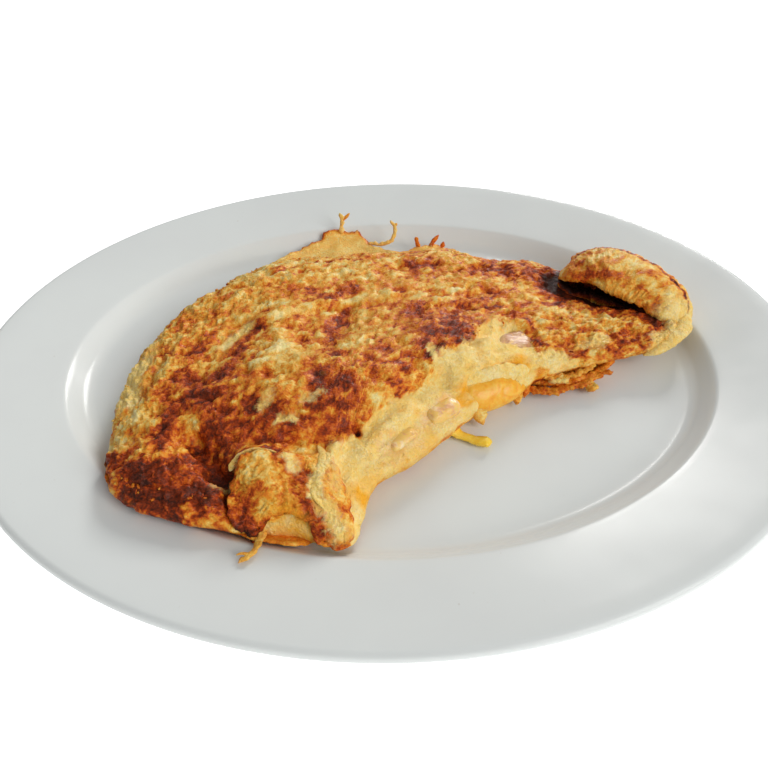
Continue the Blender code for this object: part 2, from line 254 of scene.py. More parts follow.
@dataclass
class PlateShape:
    """The plate's sizes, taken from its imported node, with its profile in mm."""

    half_length: float = 160.0
    half_width: float = 131.0
    height: float = 21.5
    rim_width: float = 33.5
    well_edge_height: float = 15.4
    floor_inset: float = 46.0
    floor_height: float = 8.0
    base_height: float = 3.0
    foot_inset: float = 50.0
    foot_width: float = 4.0
    halvings: int = 20

    @classmethod
    def from_frame(cls) -> PlateShape:
        """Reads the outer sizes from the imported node.

        Returns:
            The plate's shape.
        """
        low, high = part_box("plate")
        return cls(
            half_length=(high[0] - low[0]) / 2 / MM,
            half_width=(high[1] - low[1]) / 2 / MM,
            height=(high[2] - low[2]) / MM,
        )

    def top(self) -> list[Row]:
        """Works out the upper side's corners.

        Returns:
            Rows of (inset, height) from the lip to the floor, mm.
        """
        return [
            (0.0, self.height - 2.0),
            (0.6, self.height - 0.7),
            (2.0, self.height),
            (6.0, self.height - 0.6),
            (self.rim_width - 2.0, self.well_edge_height + 0.3),
            (self.rim_width, self.well_edge_height - 0.2),
            (self.rim_width + 1.4, self.well_edge_height - 1.4),
            (self.rim_width + 5.6, self.floor_height + 1.6),
            (self.rim_width + 8.4, self.floor_height + 0.35),
            (self.floor_inset, self.floor_height),
        ]

    def under(self) -> list[Row]:
        """Works out the underside's corners.

        Returns:
            Rows of (inset, height) from the lip to inside the foot ring, mm.
        """
        return [
            (0.5, self.height - 3.2),
            (1.8, self.height - 4.0),
            (self.rim_width - 1.0, self.well_edge_height - 4.4),
            (self.rim_width + 4.0, self.well_edge_height - 9.0),
            (self.foot_inset - 2.5, self.base_height),
            (self.foot_inset - 0.6, 0.5),
            (self.foot_inset, 0.0),
            (self.foot_inset + self.foot_width, 0.0),
            (self.foot_inset + self.foot_width + 0.6, 0.5),
            (self.foot_inset + self.foot_width + 1.5, self.base_height),
        ]

    def inset(self, plan: Array) -> Array:
        """How far in from the plate's outer ring each place lies.

        Args:
            plan: Places with x and y first, mm.

        Returns:
            Insets in mm, no more than the floor's.
        """
        x, y = np.abs(plan[..., 0]), np.abs(plan[..., 1])
        low, high = np.zeros(x.shape), np.full(x.shape, self.floor_inset)
        for _ in range(self.halvings):
            middle = (low + high) / 2
            along, across = self.half_length - middle, self.half_width - middle
            inside = (x / along) ** 2 + (y / across) ** 2 < 1
            low, high = np.where(inside, middle, low), np.where(inside, high, middle)
        return low

    def surface(self, plan: Array) -> Array:
        """Height of the plate's upper side under each place, mm."""
        insets, heights = np.array(self.top()).T
        return np.interp(self.inset(plan), insets, heights)


PLATE = PlateShape.from_frame()


# ---- outlines filled by grids


@dataclass
class Patch:
    """A four-sided stretch of the plan, filled by a grid that follows its sides."""

    sides: dict[str, list[Row]]
    columns: int
    rows: int
    crowding: float = 0.6
    ragged: float = 0.0
    ragged_size: float = 5.0
    at_once: int = 4000
    outline: Array = field(init=False)
    grid: Array = field(init=False)

    def __post_init__(self) -> None:
        """Draws the outline and fills it."""
        loop = curve([row for side in self.sides.values() for row in side], closed=True)
        if self.ragged:
            loop = self.torn(loop)
        starts = np.cumsum([0] + [len(side) * CURVE_STEPS for side in self.sides.values()])
        loop = np.vstack([loop, loop[:1]])
        front, right, back, left = (loop[a : b + 1] for a, b in zip(starts, starts[1:]))
        across, up = eased(self.columns, self.crowding), eased(self.rows, self.crowding)
        front, back = resampled(front, across), resampled(back[::-1], across)
        right, left = resampled(right, up), resampled(left[::-1], up)
        s, t = across[:, None, None], up[None, :, None]
        corners = (1 - s) * ((1 - t) * front[0] + t * back[0]) + s * ((1 - t) * front[-1] + t * back[-1])
        filled = (1 - t) * front[:, None] + t * back[:, None] + (1 - s) * left[None] + s * right[None]
        self.outline = loop[:-1]
        self.grid = filled - corners
        self.grid[:, 0], self.grid[:, -1], self.grid[0], self.grid[-1] = front, back, left, right

    def torn(self, loop: Array) -> Array:
        """Moves the outline in and out by noise, as a torn edge runs.

        Args:
            loop: The outline's rows, with x and y first.

        Returns:
            The same rows, moved.
        """
        ahead = np.roll(loop[:, :2], -2, 0) - np.roll(loop[:, :2], 2, 0)
        ahead /= np.linalg.norm(ahead, axis=1)[:, None] + TINY
        outward = np.stack([ahead[:, 1], -ahead[:, 0]], 1)
        places = np.pad(loop[:, :2], ((0, 0), (0, 1)))
        by = GRAIN.layered(places, self.ragged_size, 3, 0.6) * self.ragged
        moved = loop.copy()
        moved[:, :2] += outward * by[:, None]
        return moved

    def nearest(self, plan: Array, blur: float = 1.5) -> tuple[Array, Array]:
        """Finds the outline from given places.

        Args:
            plan: Places, with x and y first, mm.
            blur: How far along the outline its rows are averaged, mm.

        Returns:
            The distance to the outline, and the outline's row there.
        """
        flat = plan.reshape(-1, plan.shape[-1])[:, :2]
        line = self.outline[::2]
        distance, rows = np.empty(len(flat)), np.empty((len(flat), line.shape[1]))
        for first in range(0, len(flat), self.at_once):
            part = slice(first, first + self.at_once)
            apart = np.hypot(*np.moveaxis(flat[part, None] - line[:, :2], -1, 0))
            nearest = apart.argmin(-1)
            least = apart.min(-1)
            weight = np.exp(-(apart - least[:, None]) / blur)
            start = line[nearest, :2]
            for step in (-1, 1):
                way = line[(nearest + step) % len(line), :2] - start
                along = ((flat[part] - start) * way).sum(-1) / ((way**2).sum(-1) + TINY)
                away = flat[part] - start - np.clip(along, 0, 1)[:, None] * way
                least = np.minimum(least, np.hypot(*away.T))
            distance[part] = least
            rows[part] = weight @ line / weight.sum(-1)[:, None]
        return distance.reshape(plan.shape[:-1]), rows.reshape(*plan.shape[:-1], -1)

    def edge(self) -> tuple[Array, Array]:
        """Finds the outline from every point of the grid.

        Returns:
            The distance to the outline, and the outline's row there.
        """
        distance, near = self.nearest(self.grid)
        distance[:, [0, -1]] = 0
        distance[[0, -1]] = 0
        return distance, near

    def inside(self, plan: Array) -> Array:
        """Whether each place lies inside the outline.

        Args:
            plan: Places, with x and y first, mm.

        Returns:
            True inside, False outside.
        """
        x, y = plan[..., 0, None], plan[..., 1, None]
        line = self.outline[::4, :2]
        ax, ay = line.T
        bx, by = np.roll(line, -1, 0).T
        crossed = (ay > y) != (by > y)
        crossing = (bx - ax) * (y - ay) / np.where(by == ay, TINY, by - ay) + ax
        return (crossed & (x < crossing)).sum(-1) % 2 == 1


def normals(points: Array) -> Array:
    """Directions square to a grid of points.

    Args:
        points: The grid, as columns of rows of points.

    Returns:
        A direction of length 1 for each point, on the grid's upper side.
    """
    along, across = np.gradient(points, axis=0), np.gradient(points, axis=1)
    square = np.cross(along, across)
    return square / (np.linalg.norm(square, axis=-1)[..., None] + TINY)


def distance_to(plan: Array, line: list[Row], step: float) -> Array:
    """Distance in plan from each place to a smooth line through rows of (x, y).

    Args:
        plan: Places, with x and y first, mm.
        line: The rows that the line passes through; a single one is a spot.
        step: Spacing of the points that stand for the line, mm.

    Returns:
        Distances in mm.
    """
    if len(line) == 1:
        return np.hypot(plan[..., 0] - line[0][0], plan[..., 1] - line[0][1])
    fine = curve(line)
    length = np.hypot(*np.diff(fine[:, :2], axis=0).T).sum()
    path = resampled(fine, np.linspace(0, 1, max(3, int(length / step))))
    best = np.full(plan.shape[:-1], np.inf)
    for x, y in path[:, :2]:
        best = np.minimum(best, (plan[..., 0] - x) ** 2 + (plan[..., 1] - y) ** 2)
    return np.sqrt(best)


def side_of(plan: Array, line: list[Row], count: int = 90) -> Array:
    """Signed distance in plan to a smooth line: positive on its left as it runs.

    Args:
        plan: Places, with x and y first, mm.
        line: The rows that the line passes through.
        count: How many points stand for the line.

    Returns:
        Signed distances in mm.
    """
    path = resampled(curve(line), np.linspace(0, 1, count))[:, :2]
    ahead = np.gradient(path, axis=0)
    best = np.full(plan.shape[:-1], np.inf)
    sign = np.ones(plan.shape[:-1])
    for (x, y), (ax, ay) in zip(path, ahead):
        dx, dy = plan[..., 0] - x, plan[..., 1] - y
        apart = dx * dx + dy * dy
        nearer = apart < best
        best = np.where(nearer, apart, best)
        sign = np.where(nearer, np.sign(ax * dy - ay * dx), sign)
    return sign * np.sqrt(best)


# ---- meshes


def new_piece(name: str, points: Array, faces: Faces, looks: Looks) -> Object:
    """Makes a smooth object from points in mm.

    Args:
        name: The object's name.
        points: Its points in mm, one a row.
        faces: Its faces, as rows of point numbers.
        looks: Values to store at each point.

    Returns:
        The object, linked to the scene and riding on the part.
    """
    mesh = bpy.data.meshes.new(name)
    mesh.from_pydata((points * MM).tolist(), [], faces)
    mesh.update()
    mesh.shade_smooth()
    for look, values in looks.items():
        stored = mesh.attributes.new(look.value, "FLOAT", "POINT")
        stored.data.foreach_set("value", np.ascontiguousarray(values, np.float32))
    piece = bpy.data.objects.new(name, mesh)
    bpy.context.scene.collection.objects.link(piece)
    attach(piece, "root")
    return piece


def report(piece: Object) -> None:
    """Logs a piece's name and size."""
    LOG.info("%s: %d faces", piece.name, len(piece.data.polygons))


@dataclass
class Slab:
    """A closed body between an upper grid of points and a coarser lower one that share their edge."""

    upper: Array
    lower: Array
    step: int  # spacing of the lower grid's points, counted in the upper one's

    def points(self) -> Array:
        """Every point: the upper grid first, then the inside of the lower one."""
        return np.vstack([self.upper.reshape(-1, 3), self.lower[1:-1, 1:-1].reshape(-1, 3)])

    def faces(self) -> Faces:
        """Joins both grids along their shared edge.

        Returns:
            The faces, as rows of point numbers.
        """
        columns, rows = self.upper.shape[:2]
        number = np.arange(columns * rows).reshape(columns, rows)
        a, b, c, d = number[:-1, :-1], number[1:, :-1], number[1:, 1:], number[:-1, 1:]
        faces = np.stack([a, b, c, d], -1).reshape(-1, 4).tolist()
        step, (across, up) = self.step, self.lower.shape[:2]
        below = np.zeros((across, up), int)
        below[1:-1, 1:-1] = columns * rows + np.arange((across - 2) * (up - 2)).reshape(across - 2, up - 2)
        rim = number[::step, ::step]
        below[0], below[-1], below[:, 0], below[:, -1] = rim[0], rim[-1], rim[:, 0], rim[:, -1]
        for i, j in itertools.product(range(across - 1), range(up - 1)):
            front = [below[i, j]]
            if j == 0:
                front += list(number[i * step + 1 : (i + 1) * step, 0])
            right = [below[i + 1, j]]
            if i == across - 2:
                right += list(number[-1, j * step + 1 : (j + 1) * step])
            back = [below[i + 1, j + 1]]
            if j == up - 2:
                back += list(number[i * step + 1 : (i + 1) * step, -1])[::-1]
            left = [below[i, j + 1]]
            if i == 0:
                left += list(number[0, j * step + 1 : (j + 1) * step])[::-1]
            faces.append(tuple(int(k) for k in (front + right + back + left)[::-1]))
        return faces


def padded(values: Array, count: int) -> Array:
    """Values of a slab's upper side, with 0 for the rest of its points."""
    return np.concatenate([values.ravel(), np.zeros(count - values.size)])


def loft(rings: list[Array]) -> tuple[Array, Faces]:
    """A closed body through rings of points.

    Args:
        rings: Rings with the same number of points each.

    Returns:
        The points and the faces.
    """
    count = len(rings[0])
    points = np.vstack(rings)
    faces: Faces = []
    for k in range(len(rings) - 1):
        for i in range(count):
            j = (i + 1) % count
            faces.append((k * count + i, k * count + j, (k + 1) * count + j, (k + 1) * count + i))
    faces.append(tuple(range(count))[::-1])
    faces.append(tuple(range((len(rings) - 1) * count, len(rings) * count)))
    return points, faces


def tube(path: Array, radii: Array, sides: int, flat: float, face: Row = UPWARD) -> list[Array]:
    """Rings round a path, with closed ends.

    Args:
        path: The middle's points in mm.
        radii: Its half width at each of them, mm.
        sides: Points in a ring.
        flat: Thickness over width.
        face: The direction that its flat side faces.

    Returns:
        Rings for loft().
    """
    ahead = np.gradient(path, axis=0)
    ahead /= np.linalg.norm(ahead, axis=1)[:, None]
    across = np.cross(ahead, face)
    across /= np.linalg.norm(across, axis=1)[:, None]
    up = np.cross(across, ahead)
    turns = np.linspace(0, math.tau, sides, endpoint=False)
    rings = []
    for middle, half, side, lift in zip(path, radii, across, up):
        ring = np.cos(turns)[:, None] * side + flat * np.sin(turns)[:, None] * lift
        rings.append(middle + half * ring)
    return rings


# ---- finishes


def linear(tone: Tone) -> tuple[float, float, float, float]:
    """A colour given as 0 to 255 on a screen, as the shader's own numbers."""
    shares = [c / 255 for c in tone]
    return (*[c / 12.92 if c <= 0.04045 else ((c + 0.055) / 1.055) ** 2.4 for c in shares], 1.0)


class Graph:
    """A material's nodes, with short calls for the ones used here."""

    def __init__(self, name: str) -> None:
        """Makes the material.

        Args:
            name: The material's name.
        """
        self.material = bpy.data.materials.new(name)
        self.material.use_nodes = True
        self.tree = self.material.node_tree
        self.shader = self.tree.nodes["Principled BSDF"]
        self.place = self.node("ShaderNodeTexCoord").outputs["Object"]

    def node(self, kind: str, **settings: object) -> bpy.types.Node:
        """Adds a node.

        Args:
            kind: The kind of node.
            settings: The node's own settings.

        Returns:
            The node.
        """
        made = self.tree.nodes.new(kind)
        for key, value in settings.items():
            setattr(made, key, value)
        return made

    def feed(self, socket: Socket, value: object) -> None:
        """Links a socket to another, or sets it.

        Args:
            socket: The socket to feed.
            value: A socket, or a plain value.
        """
        if isinstance(value, Socket):
            self.tree.links.new(value, socket)
        else:
            socket.default_value = value

    def set(self, **constants: object) -> None:
        """Sets the shader's own sockets; a name's underscores stand for spaces."""
        for key, value in constants.items():
            self.shader.inputs[key.replace("_", " ")].default_value = value

    def stored(self, look: Look) -> Socket:
        """A value stored on the mesh."""
        return self.node("ShaderNodeAttribute", attribute_name=look.value).outputs["Fac"]

    def stretched(self, scale: Row) -> Socket:
        """The place on the object, stretched along its axes.

        Args:
            scale: How much along X, Y and Z.

        Returns:
            The place's socket.
        """
        made = self.node("ShaderNodeMapping")
        self.feed(made.inputs["Vector"], self.place)
        made.inputs["Scale"].default_value = scale
        return made.outputs["Vector"]

    def noise(
        self,
        size: float,
        detail: float = 3.0,
        rough: float = 0.55,
        twist: float = 0.0,
        place: Socket | None = None,
    ) -> Socket:
        """Noise from 0 to 1.

        Args:
            size: Its grain in mm.
            detail: Layers of finer noise.
            rough: How strong the finer layers are.
            twist: How far it is stirred.
            place: Where it is looked up, if not at the plain place.

        Returns:
            The noise's socket.
        """
        made = self.node("ShaderNodeTexNoise")
        self.feed(made.inputs["Vector"], place or self.place)
        made.inputs["Scale"].default_value = 1 / (size * MM)
        made.inputs["Detail"].default_value = detail
        made.inputs["Roughness"].default_value = rough
        made.inputs["Distortion"].default_value = twist
        return made.outputs["Fac"]

    def spots(self, size: float) -> Socket:
        """Distance to the middle of the nearest cell, for bubbles and pits.

        Args:
            size: The cells' size in mm.

        Returns:
            The distance's socket.
        """
        made = self.node("ShaderNodeTexVoronoi")
        self.feed(made.inputs["Vector"], self.place)
        made.inputs["Scale"].default_value = 1 / (size * MM)
        return made.outputs["Distance"]

    def maths(self, operation: str, a: object, b: object, c: object = 0.0) -> Socket:
        """A sum on up to three values.

        Args:
            operation: What is done with them.
            a: The first value.
            b: The second value.
            c: The third value, where the operation takes one.

        Returns:
            The result's socket.
        """
        made = self.node("ShaderNodeMath", operation=operation)
        for socket, value in zip(made.inputs, (a, b, c)):
            self.feed(socket, value)
        return made.outputs["Value"]

    def wandered(self, value: object, noise: object, strength: float) -> Socket:
        """Moves a value up and down by noise that lies round a half."""
        return self.maths("MULTIPLY_ADD", self.maths("SUBTRACT", noise, 0.5), strength, value)

    def spread(
        self, value: object, low: float, high: float, to_low: float = 0.0, to_high: float = 1.0
    ) -> Socket:
        """Maps a range onto another and holds it inside.

        Args:
            value: The value to map.
            low: Start of its range.
            high: End of its range.
            to_low: What the start becomes.
            to_high: What the end becomes.

        Returns:
            The mapped value's socket.
        """
        made = self.node("ShaderNodeMapRange")
        for key, given in zip(
            ("Value", "From Min", "From Max", "To Min", "To Max"), (value, low, high, to_low, to_high)
        ):
            self.feed(made.inputs[key], given)
        return made.outputs["Result"]

    def ramp(self, value: object, stops: list[tuple[float, Tone]]) -> Socket:
        """A colour from a value.

        Args:
            value: The value, from 0 to 1.
            stops: Where each colour stands.

        Returns:
            The colour's socket.
        """
        made = self.node("ShaderNodeValToRGB")
        self.feed(made.inputs["Fac"], value)
        elements = made.color_ramp.elements
        while len(elements) < len(stops):
            elements.new(0.5)
        for element, (position, tone) in zip(elements, stops):
            element.position, element.color = position, linear(tone)
        return made.outputs["Color"]

    def mix(self, share: object, one: object, other: object) -> Socket:
        """Blends two colours.

        Args:
            share: How much of the other shows.
            one: The first colour.
            other: The other colour.

        Returns:
            The colour's socket.
        """
        made = self.node("ShaderNodeMix", data_type="RGBA")
        inputs = [socket for socket in made.inputs if socket.type == "RGBA"]
        self.feed(made.inputs["Factor"], share)
        self.feed(inputs[0], one)
        self.feed(inputs[1], other)
        return next(socket for socket in made.outputs if socket.type == "RGBA")

    def bump(self, height: object, depth: float, under: object = None) -> Socket:
        """Fine relief.

        Args:
            height: The relief, from 0 to 1.
            depth: How deep it is in mm.
            under: Relief that it is laid on.

        Returns:
            The normal's socket.
        """
        made = self.node("ShaderNodeBump")
        made.inputs["Distance"].default_value = depth * MM
        self.feed(made.inputs["Height"], height)
        if under is not None:
            self.feed(made.inputs["Normal"], under)
        return made.outputs["Normal"]

    def finish(self, **links: object) -> Material:
        """Links sockets of the shader.

        Args:
            links: A value for each socket, by its name.

        Returns:
            The material.
        """
        for key, value in links.items():
            self.feed(self.shader.inputs[key.replace("_", " ")], value)
        return self.material


@dataclass(frozen=True)
class PorcelainFinish:
    """White glazed porcelain: a smooth glaze with faint waves, and a bare, rougher foot."""

    glaze: Tone = (227, 232, 231)
    cloud: Tone = (222, 226, 226)
    bare: Tone = (214, 208, 196)
    speck: Tone = (196, 190, 180)
    foot_top: float = 1.0
    foot_low: float = 0.2

    def material(self) -> Material:
        """Builds the material.

        Returns:
            The material.
        """
        graph = Graph("porcelain_glaze")
        graph.set(Coat_Weight=0.05, Coat_Roughness=0.12, Specular_IOR_Level=0.22)
        height = graph.node("ShaderNodeSeparateXYZ")
        graph.feed(height.inputs["Vector"], graph.place)
        bare = graph.spread(height.outputs["Z"], self.foot_top * MM, self.foot_low * MM)
        clouds = graph.spread(graph.noise(45, 3), 0.35, 0.65, 0.0, 0.5)
        glaze = graph.mix(clouds, linear(self.glaze), linear(self.cloud))
        specks = graph.spread(graph.noise(1.6, 1, 0.3), 0.80, 0.86, 0.0, 0.35)
        glaze = graph.mix(specks, glaze, linear(self.speck))
        colour = graph.mix(bare, glaze, linear(self.bare))
        rough = graph.spread(graph.noise(18, 4), 0.3, 0.7, 0.16, 0.24)
        rough = graph.maths("ADD", rough, graph.maths("MULTIPLY", bare, 0.5))
        relief = graph.bump(graph.noise(28, 2), 0.12)
        return graph.finish(Base_Color=colour, Roughness=rough, Normal=relief)


@dataclass(frozen=True)
class EggFinish:
    """Fried egg: from pale cream through gold to dark brown, with an oily, crinkled surface."""

    name: str = "cooked_egg"
    # the darkest stops show browning, and also the painted shade in the hole and the hollows
    browning: tuple[tuple[float, Tone], ...] = (
        (0.00, (254, 232, 160)), (0.15, (252, 212, 118)), (0.29, (246, 184, 74)), (0.42, (236, 148, 42)),
        (0.55, (216, 106, 26)), (0.68, (178, 67, 16)), (0.82, (122, 45, 15)), (1.00, (58, 26, 16)),
    )
    cream: tuple[tuple[float, Tone], ...] = (
        (0.25, (252, 196, 84)), (0.46, (255, 216, 122)), (0.66, (255, 234, 170)),
    )
    cheese: Tone = (252, 178, 40)
    meat: Tone = (240, 184, 160)
    light_through: float = 0.12

    def material(self) -> Material:
        """Builds the material.

        Returns:
            The material.
        """
        graph = Graph(self.name)
        graph.set(
            Subsurface_Weight=self.light_through, Subsurface_Radius=(1.0, 0.45, 0.14),
            Subsurface_Scale=1.6 * MM, Specular_IOR_Level=0.18, Coat_Weight=0.06, Coat_Roughness=0.12,
        )
        fibres = graph.noise(1.9, 4, 0.60, 1.8, graph.stretched((0.75, 1.15, 1.0)))
        specks = graph.noise(0.8, 2, 0.5, 0.6)
        blotches = graph.noise(5.0, 4, 0.6, 0.8)
        browned = graph.stored(Look.BROWNING_AND_SHADE)
        for noise, strength in ((fibres, 0.62), (specks, 0.32), (blotches, 0.30)):
            browned = graph.wandered(browned, noise, strength)
        colour = graph.ramp(browned, list(self.browning))
        creamy = graph.wandered(graph.stored(Look.CREAMY), fibres, 0.9)
        mottle = graph.maths("MULTIPLY_ADD", specks, 0.4, graph.maths("MULTIPLY", blotches, 0.6))
        pale = graph.ramp(mottle, list(self.cream))
        colour = graph.mix(graph.spread(creamy, 0.25, 0.75), colour, pale)
        cheesy = graph.wandered(graph.stored(Look.CHEESY), blotches, 0.8)
        colour = graph.mix(graph.spread(cheesy, 0.1, 1.0), colour, linear(self.cheese))
        meaty = graph.wandered(graph.stored(Look.MEATY), fibres, 0.8)
        colour = graph.mix(graph.spread(meaty, 0.2, 1.1), colour, linear(self.meat))
        rough = graph.spread(graph.noise(1.6, 3), 0.36, 0.66, 0.30, 0.62)
        relief = graph.bump(fibres, 0.60)
        relief = graph.bump(specks, 0.20, relief)
        relief = graph.bump(graph.spread(graph.spots(0.9), 0.0, 0.6), 0.12, relief)
        return graph.finish(Base_Color=colour, Roughness=rough, Normal=relief)


@dataclass(frozen=True)
class CheeseFinish:
    """Melted cheese: saturated yellow, smooth and shiny, with paler streaks and egg film on it."""

    name: str = "melted_cheese"
    film: Tone = (255, 226, 150)
    tones: tuple[tuple[float, Tone], ...] = (
        (0.25, (242, 150, 24)), (0.48, (252, 178, 40)), (0.68, (255, 202, 78)), (0.88, (255, 226, 140)),
    )

    def material(self) -> Material:
        """Builds the material.

        Returns:
            The material.
        """
        graph = Graph(self.name)
        graph.set(
            Subsurface_Weight=0.2, Subsurface_Radius=(1.0, 0.5, 0.12), Subsurface_Scale=2.0 * MM,
            Coat_Weight=0.14, Coat_Roughness=0.22,
        )
        clouds = graph.noise(4.0, 4, 0.55, 1.0)
        grain = graph.noise(0.9, 3)
        streaks = graph.maths("MULTIPLY_ADD", grain, 0.25, graph.maths("MULTIPLY", clouds, 0.78))
        colour = graph.ramp(streaks, list(self.tones))
        film = graph.wandered(graph.stored(Look.CREAMY), clouds, 1.2)
        colour = graph.mix(graph.spread(film, 0.2, 0.8, 0.0, 0.9), colour, linear(self.film))
        rough = graph.spread(clouds, 0.3, 0.7, 0.34, 0.52)
        relief = graph.bump(clouds, 0.35)
        relief = graph.bump(grain, 0.12, relief)
        return graph.finish(Base_Color=colour, Roughness=rough, Normal=relief)


RUNNY_CHEESE = CheeseFinish(
    "runny_cheese",
    tones=(
        (0.25, (246, 186, 36)), (0.48, (254, 210, 60)), (0.68, (255, 224, 100)), (0.88, (255, 236, 160)),
    ),
)


@dataclass(frozen=True)
class HamFinish:
    """Cooked ham: pale pink, moist, with lighter fat, and partly under a film of egg."""

    name: str = "cooked_ham"
    lean: Tone = (240, 192, 136)
    deep: Tone = (226, 164, 112)
    fat: Tone = (252, 222, 166)
    film: Tone = (250, 204, 104)
    covered: float = 0.5

    def material(self) -> Material:
        """Builds the material.

        Returns:
            The material.
        """
        graph = Graph(self.name)
        graph.set(
            Subsurface_Weight=0.25, Subsurface_Radius=(1.0, 0.4, 0.25), Subsurface_Scale=1.8 * MM,
            Coat_Weight=0.14, Coat_Roughness=0.15,
        )
        fibres = graph.noise(1.6, 3, 0.6, 0.4, graph.stretched((0.35, 1.6, 1.6)))
        clouds = graph.noise(5.0, 3, 0.6, 0.6)
        colour = graph.mix(graph.spread(fibres, 0.35, 0.68), linear(self.lean), linear(self.deep))
        colour = graph.mix(graph.spread(clouds, 0.48, 0.62), colour, linear(self.fat))
        patches = graph.noise(3.4, 4, 0.6, 1.0)
        film = graph.spread(patches, 0.68 - 0.4 * self.covered, 0.80 - 0.4 * self.covered, 0.0, 0.85)
        colour = graph.mix(film, colour, linear(self.film))
        rough = graph.spread(fibres, 0.3, 0.7, 0.26, 0.42)
        relief = graph.bump(fibres, 0.35)
        return graph.finish(Base_Color=colour, Roughness=rough, Normal=relief)


@dataclass(frozen=True)
class FloorFinish:
    """The pale floor, bright enough to read as a clean white table."""

    tone: Tone = (250, 250, 250)
    cloud: Tone = (246, 246, 247)
    glow: float = 0.6

    def material(self) -> Material:
        """Builds the material.

        Returns:
            The material.
        """
        graph = Graph("pale_floor")
        graph.set(
            Roughness=0.9, Specular_IOR_Level=0.1, Emission_Color=(1.0, 1.0, 1.0, 1.0),
            Emission_Strength=self.glow,
        )
        clouds = graph.spread(graph.noise(60, 2), 0.3, 0.7, 0.0, 0.3)
        return graph.finish(Base_Color=graph.mix(clouds, linear(self.tone), linear(self.cloud)))


# ---- the plate


@dataclass
class Plate:
    """The oval plate, lofted through fine elliptical rings from the floor over the lip to the base."""

    shape: PlateShape
    finish: PorcelainFinish = PorcelainFinish()
    around: int = 256
    corner: float = 2.2
    floor_rings: tuple[float, ...] = (80.0, 66.0, 56.0)
    base_rings: tuple[float, ...] = (62.0, 76.0)

    def profile(self) -> Array:
        """Works out the outline of a cut through the plate, with its corners rounded off.

        Returns:
            Fine rows of (inset, height) from the floor over the lip to the base, mm.
        """
        rows = np.array(list(reversed(self.shape.top())) + self.shape.under())
        fine = [rows[0]]
        for before, here, after in zip(rows, rows[1:], rows[2:]):
            come, go = before - here, after - here
            reach = min(self.corner, 0.45 * np.linalg.norm(come), 0.45 * np.linalg.norm(go))
            start = here + come / np.linalg.norm(come) * reach
            end = here + go / np.linalg.norm(go) * reach
            for t in (0.0, 0.25, 0.5, 0.75, 1.0):
                fine.append((1 - t) ** 2 * start + 2 * t * (1 - t) * here + t * t * end)
        fine.append(rows[-1])
        return np.array(fine)

    def build(self) -> Object:
        """Builds and dresses the plate.

        Returns:
            The piece.
        """
        turns = np.linspace(0, math.tau, self.around, endpoint=False)
        rings = []
        inner = np.array([[inset, self.shape.floor_height] for inset in self.floor_rings])
        inside = np.array([[inset, self.shape.base_height] for inset in self.base_rings])
        for inset, height in np.vstack([inner, self.profile(), inside]):
            along, across = self.shape.half_length - inset, self.shape.half_width - inset
            level = np.full(turns.shape, height)
            rings.append(np.stack([along * np.cos(turns), across * np.sin(turns), level], 1))
        points, faces = loft(rings)
        piece = new_piece("oval_plate", points, [face[::-1] for face in faces], {})
        piece.data.materials.append(self.finish.material())
        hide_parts("plate")
        return piece


# ---- the omelette


@dataclass(frozen=True)
class Mark:
    """A stroke or spot that adds to one of the egg's looks."""

    look: Look
    line: Line
    half_width: float
    strength: float

    def at(self, plan: Array) -> Array:
        """How much it adds at each place."""
        apart = distance_to(plan, list(self.line), 1.2)
        return self.strength * np.exp(-((apart / self.half_width) ** 2))


def brown(strength: float, half_width: float, *line: tuple[float, float]) -> Mark:
    """A darkening stroke: browning, and at a few places painted shade."""
    return Mark(Look.BROWNING_AND_SHADE, line, half_width, strength)


def cream(strength: float, half_width: float, *line: tuple[float, float]) -> Mark:
    """A pale, unbrowned stroke."""
    return Mark(Look.CREAMY, line, half_width, strength)


def marked(marks: tuple[Mark, ...], points: Array) -> Looks:
    """What a set of marks gives each place.

    Args:
        marks: The marks; without any, every look is 0.
        points: Places in mm.

    Returns:
        A value for each look at each place.
    """
    looks = {look: np.zeros(points.shape[:-1]) for look in Look}
    for mark in marks:
        looks[mark.look] += mark.at(points)
    return looks


def blotches(points: Array) -> Array:
    """The uneven browning that the folded layer and the lower sheet share."""
    return GRAIN.layered(GRAIN.stirred(points, 5, 2.0), (9, 6, 6), 3, 0.6)


@dataclass(frozen=True)
class SkinRelief:
    """How far each kind of relief stands out on the folded layer, mm."""

    lumps: float = 1.0
    crinkles: float = 0.72
    fine: float = 0.38
    front_soft: float = 1.1
    front_fine: float = 0.10
    sunk: float = 0.3
    step: float = 0.9  # how far the front lies below the browned skin
    step_ends: Row = (64, 50)  # where it fades out along X
    calm: float = 0.55  # share of the crinkles that is left low on the sides
    calm_heights: Row = (16.0, 26.0)
    shallowest: float = 0.05
    deepening: float = 0.22  # how much deeper it may go for each mm in from the outline


@dataclass(frozen=True)
class Browning:
    """How much each cause adds to how browned the folded layer's skin is, with the painted shade of the hole.
    """

    base: float = 0.36
    marks: float = 0.88
    broad: float = 0.09
    blotch: float = 0.21
    vein: float = -0.09
    grit: float = 0.14
    streaks: float = 0.13
    raised: float = -0.08
    low_down: float = -0.06
    low_heights: Row = (16.0, 9.0)
    full: float = 0.8  # past this it deepens more slowly
    past_full: float = 0.35
    # painted shade: how dark the hole's pit is painted
    hole: float = 1.3


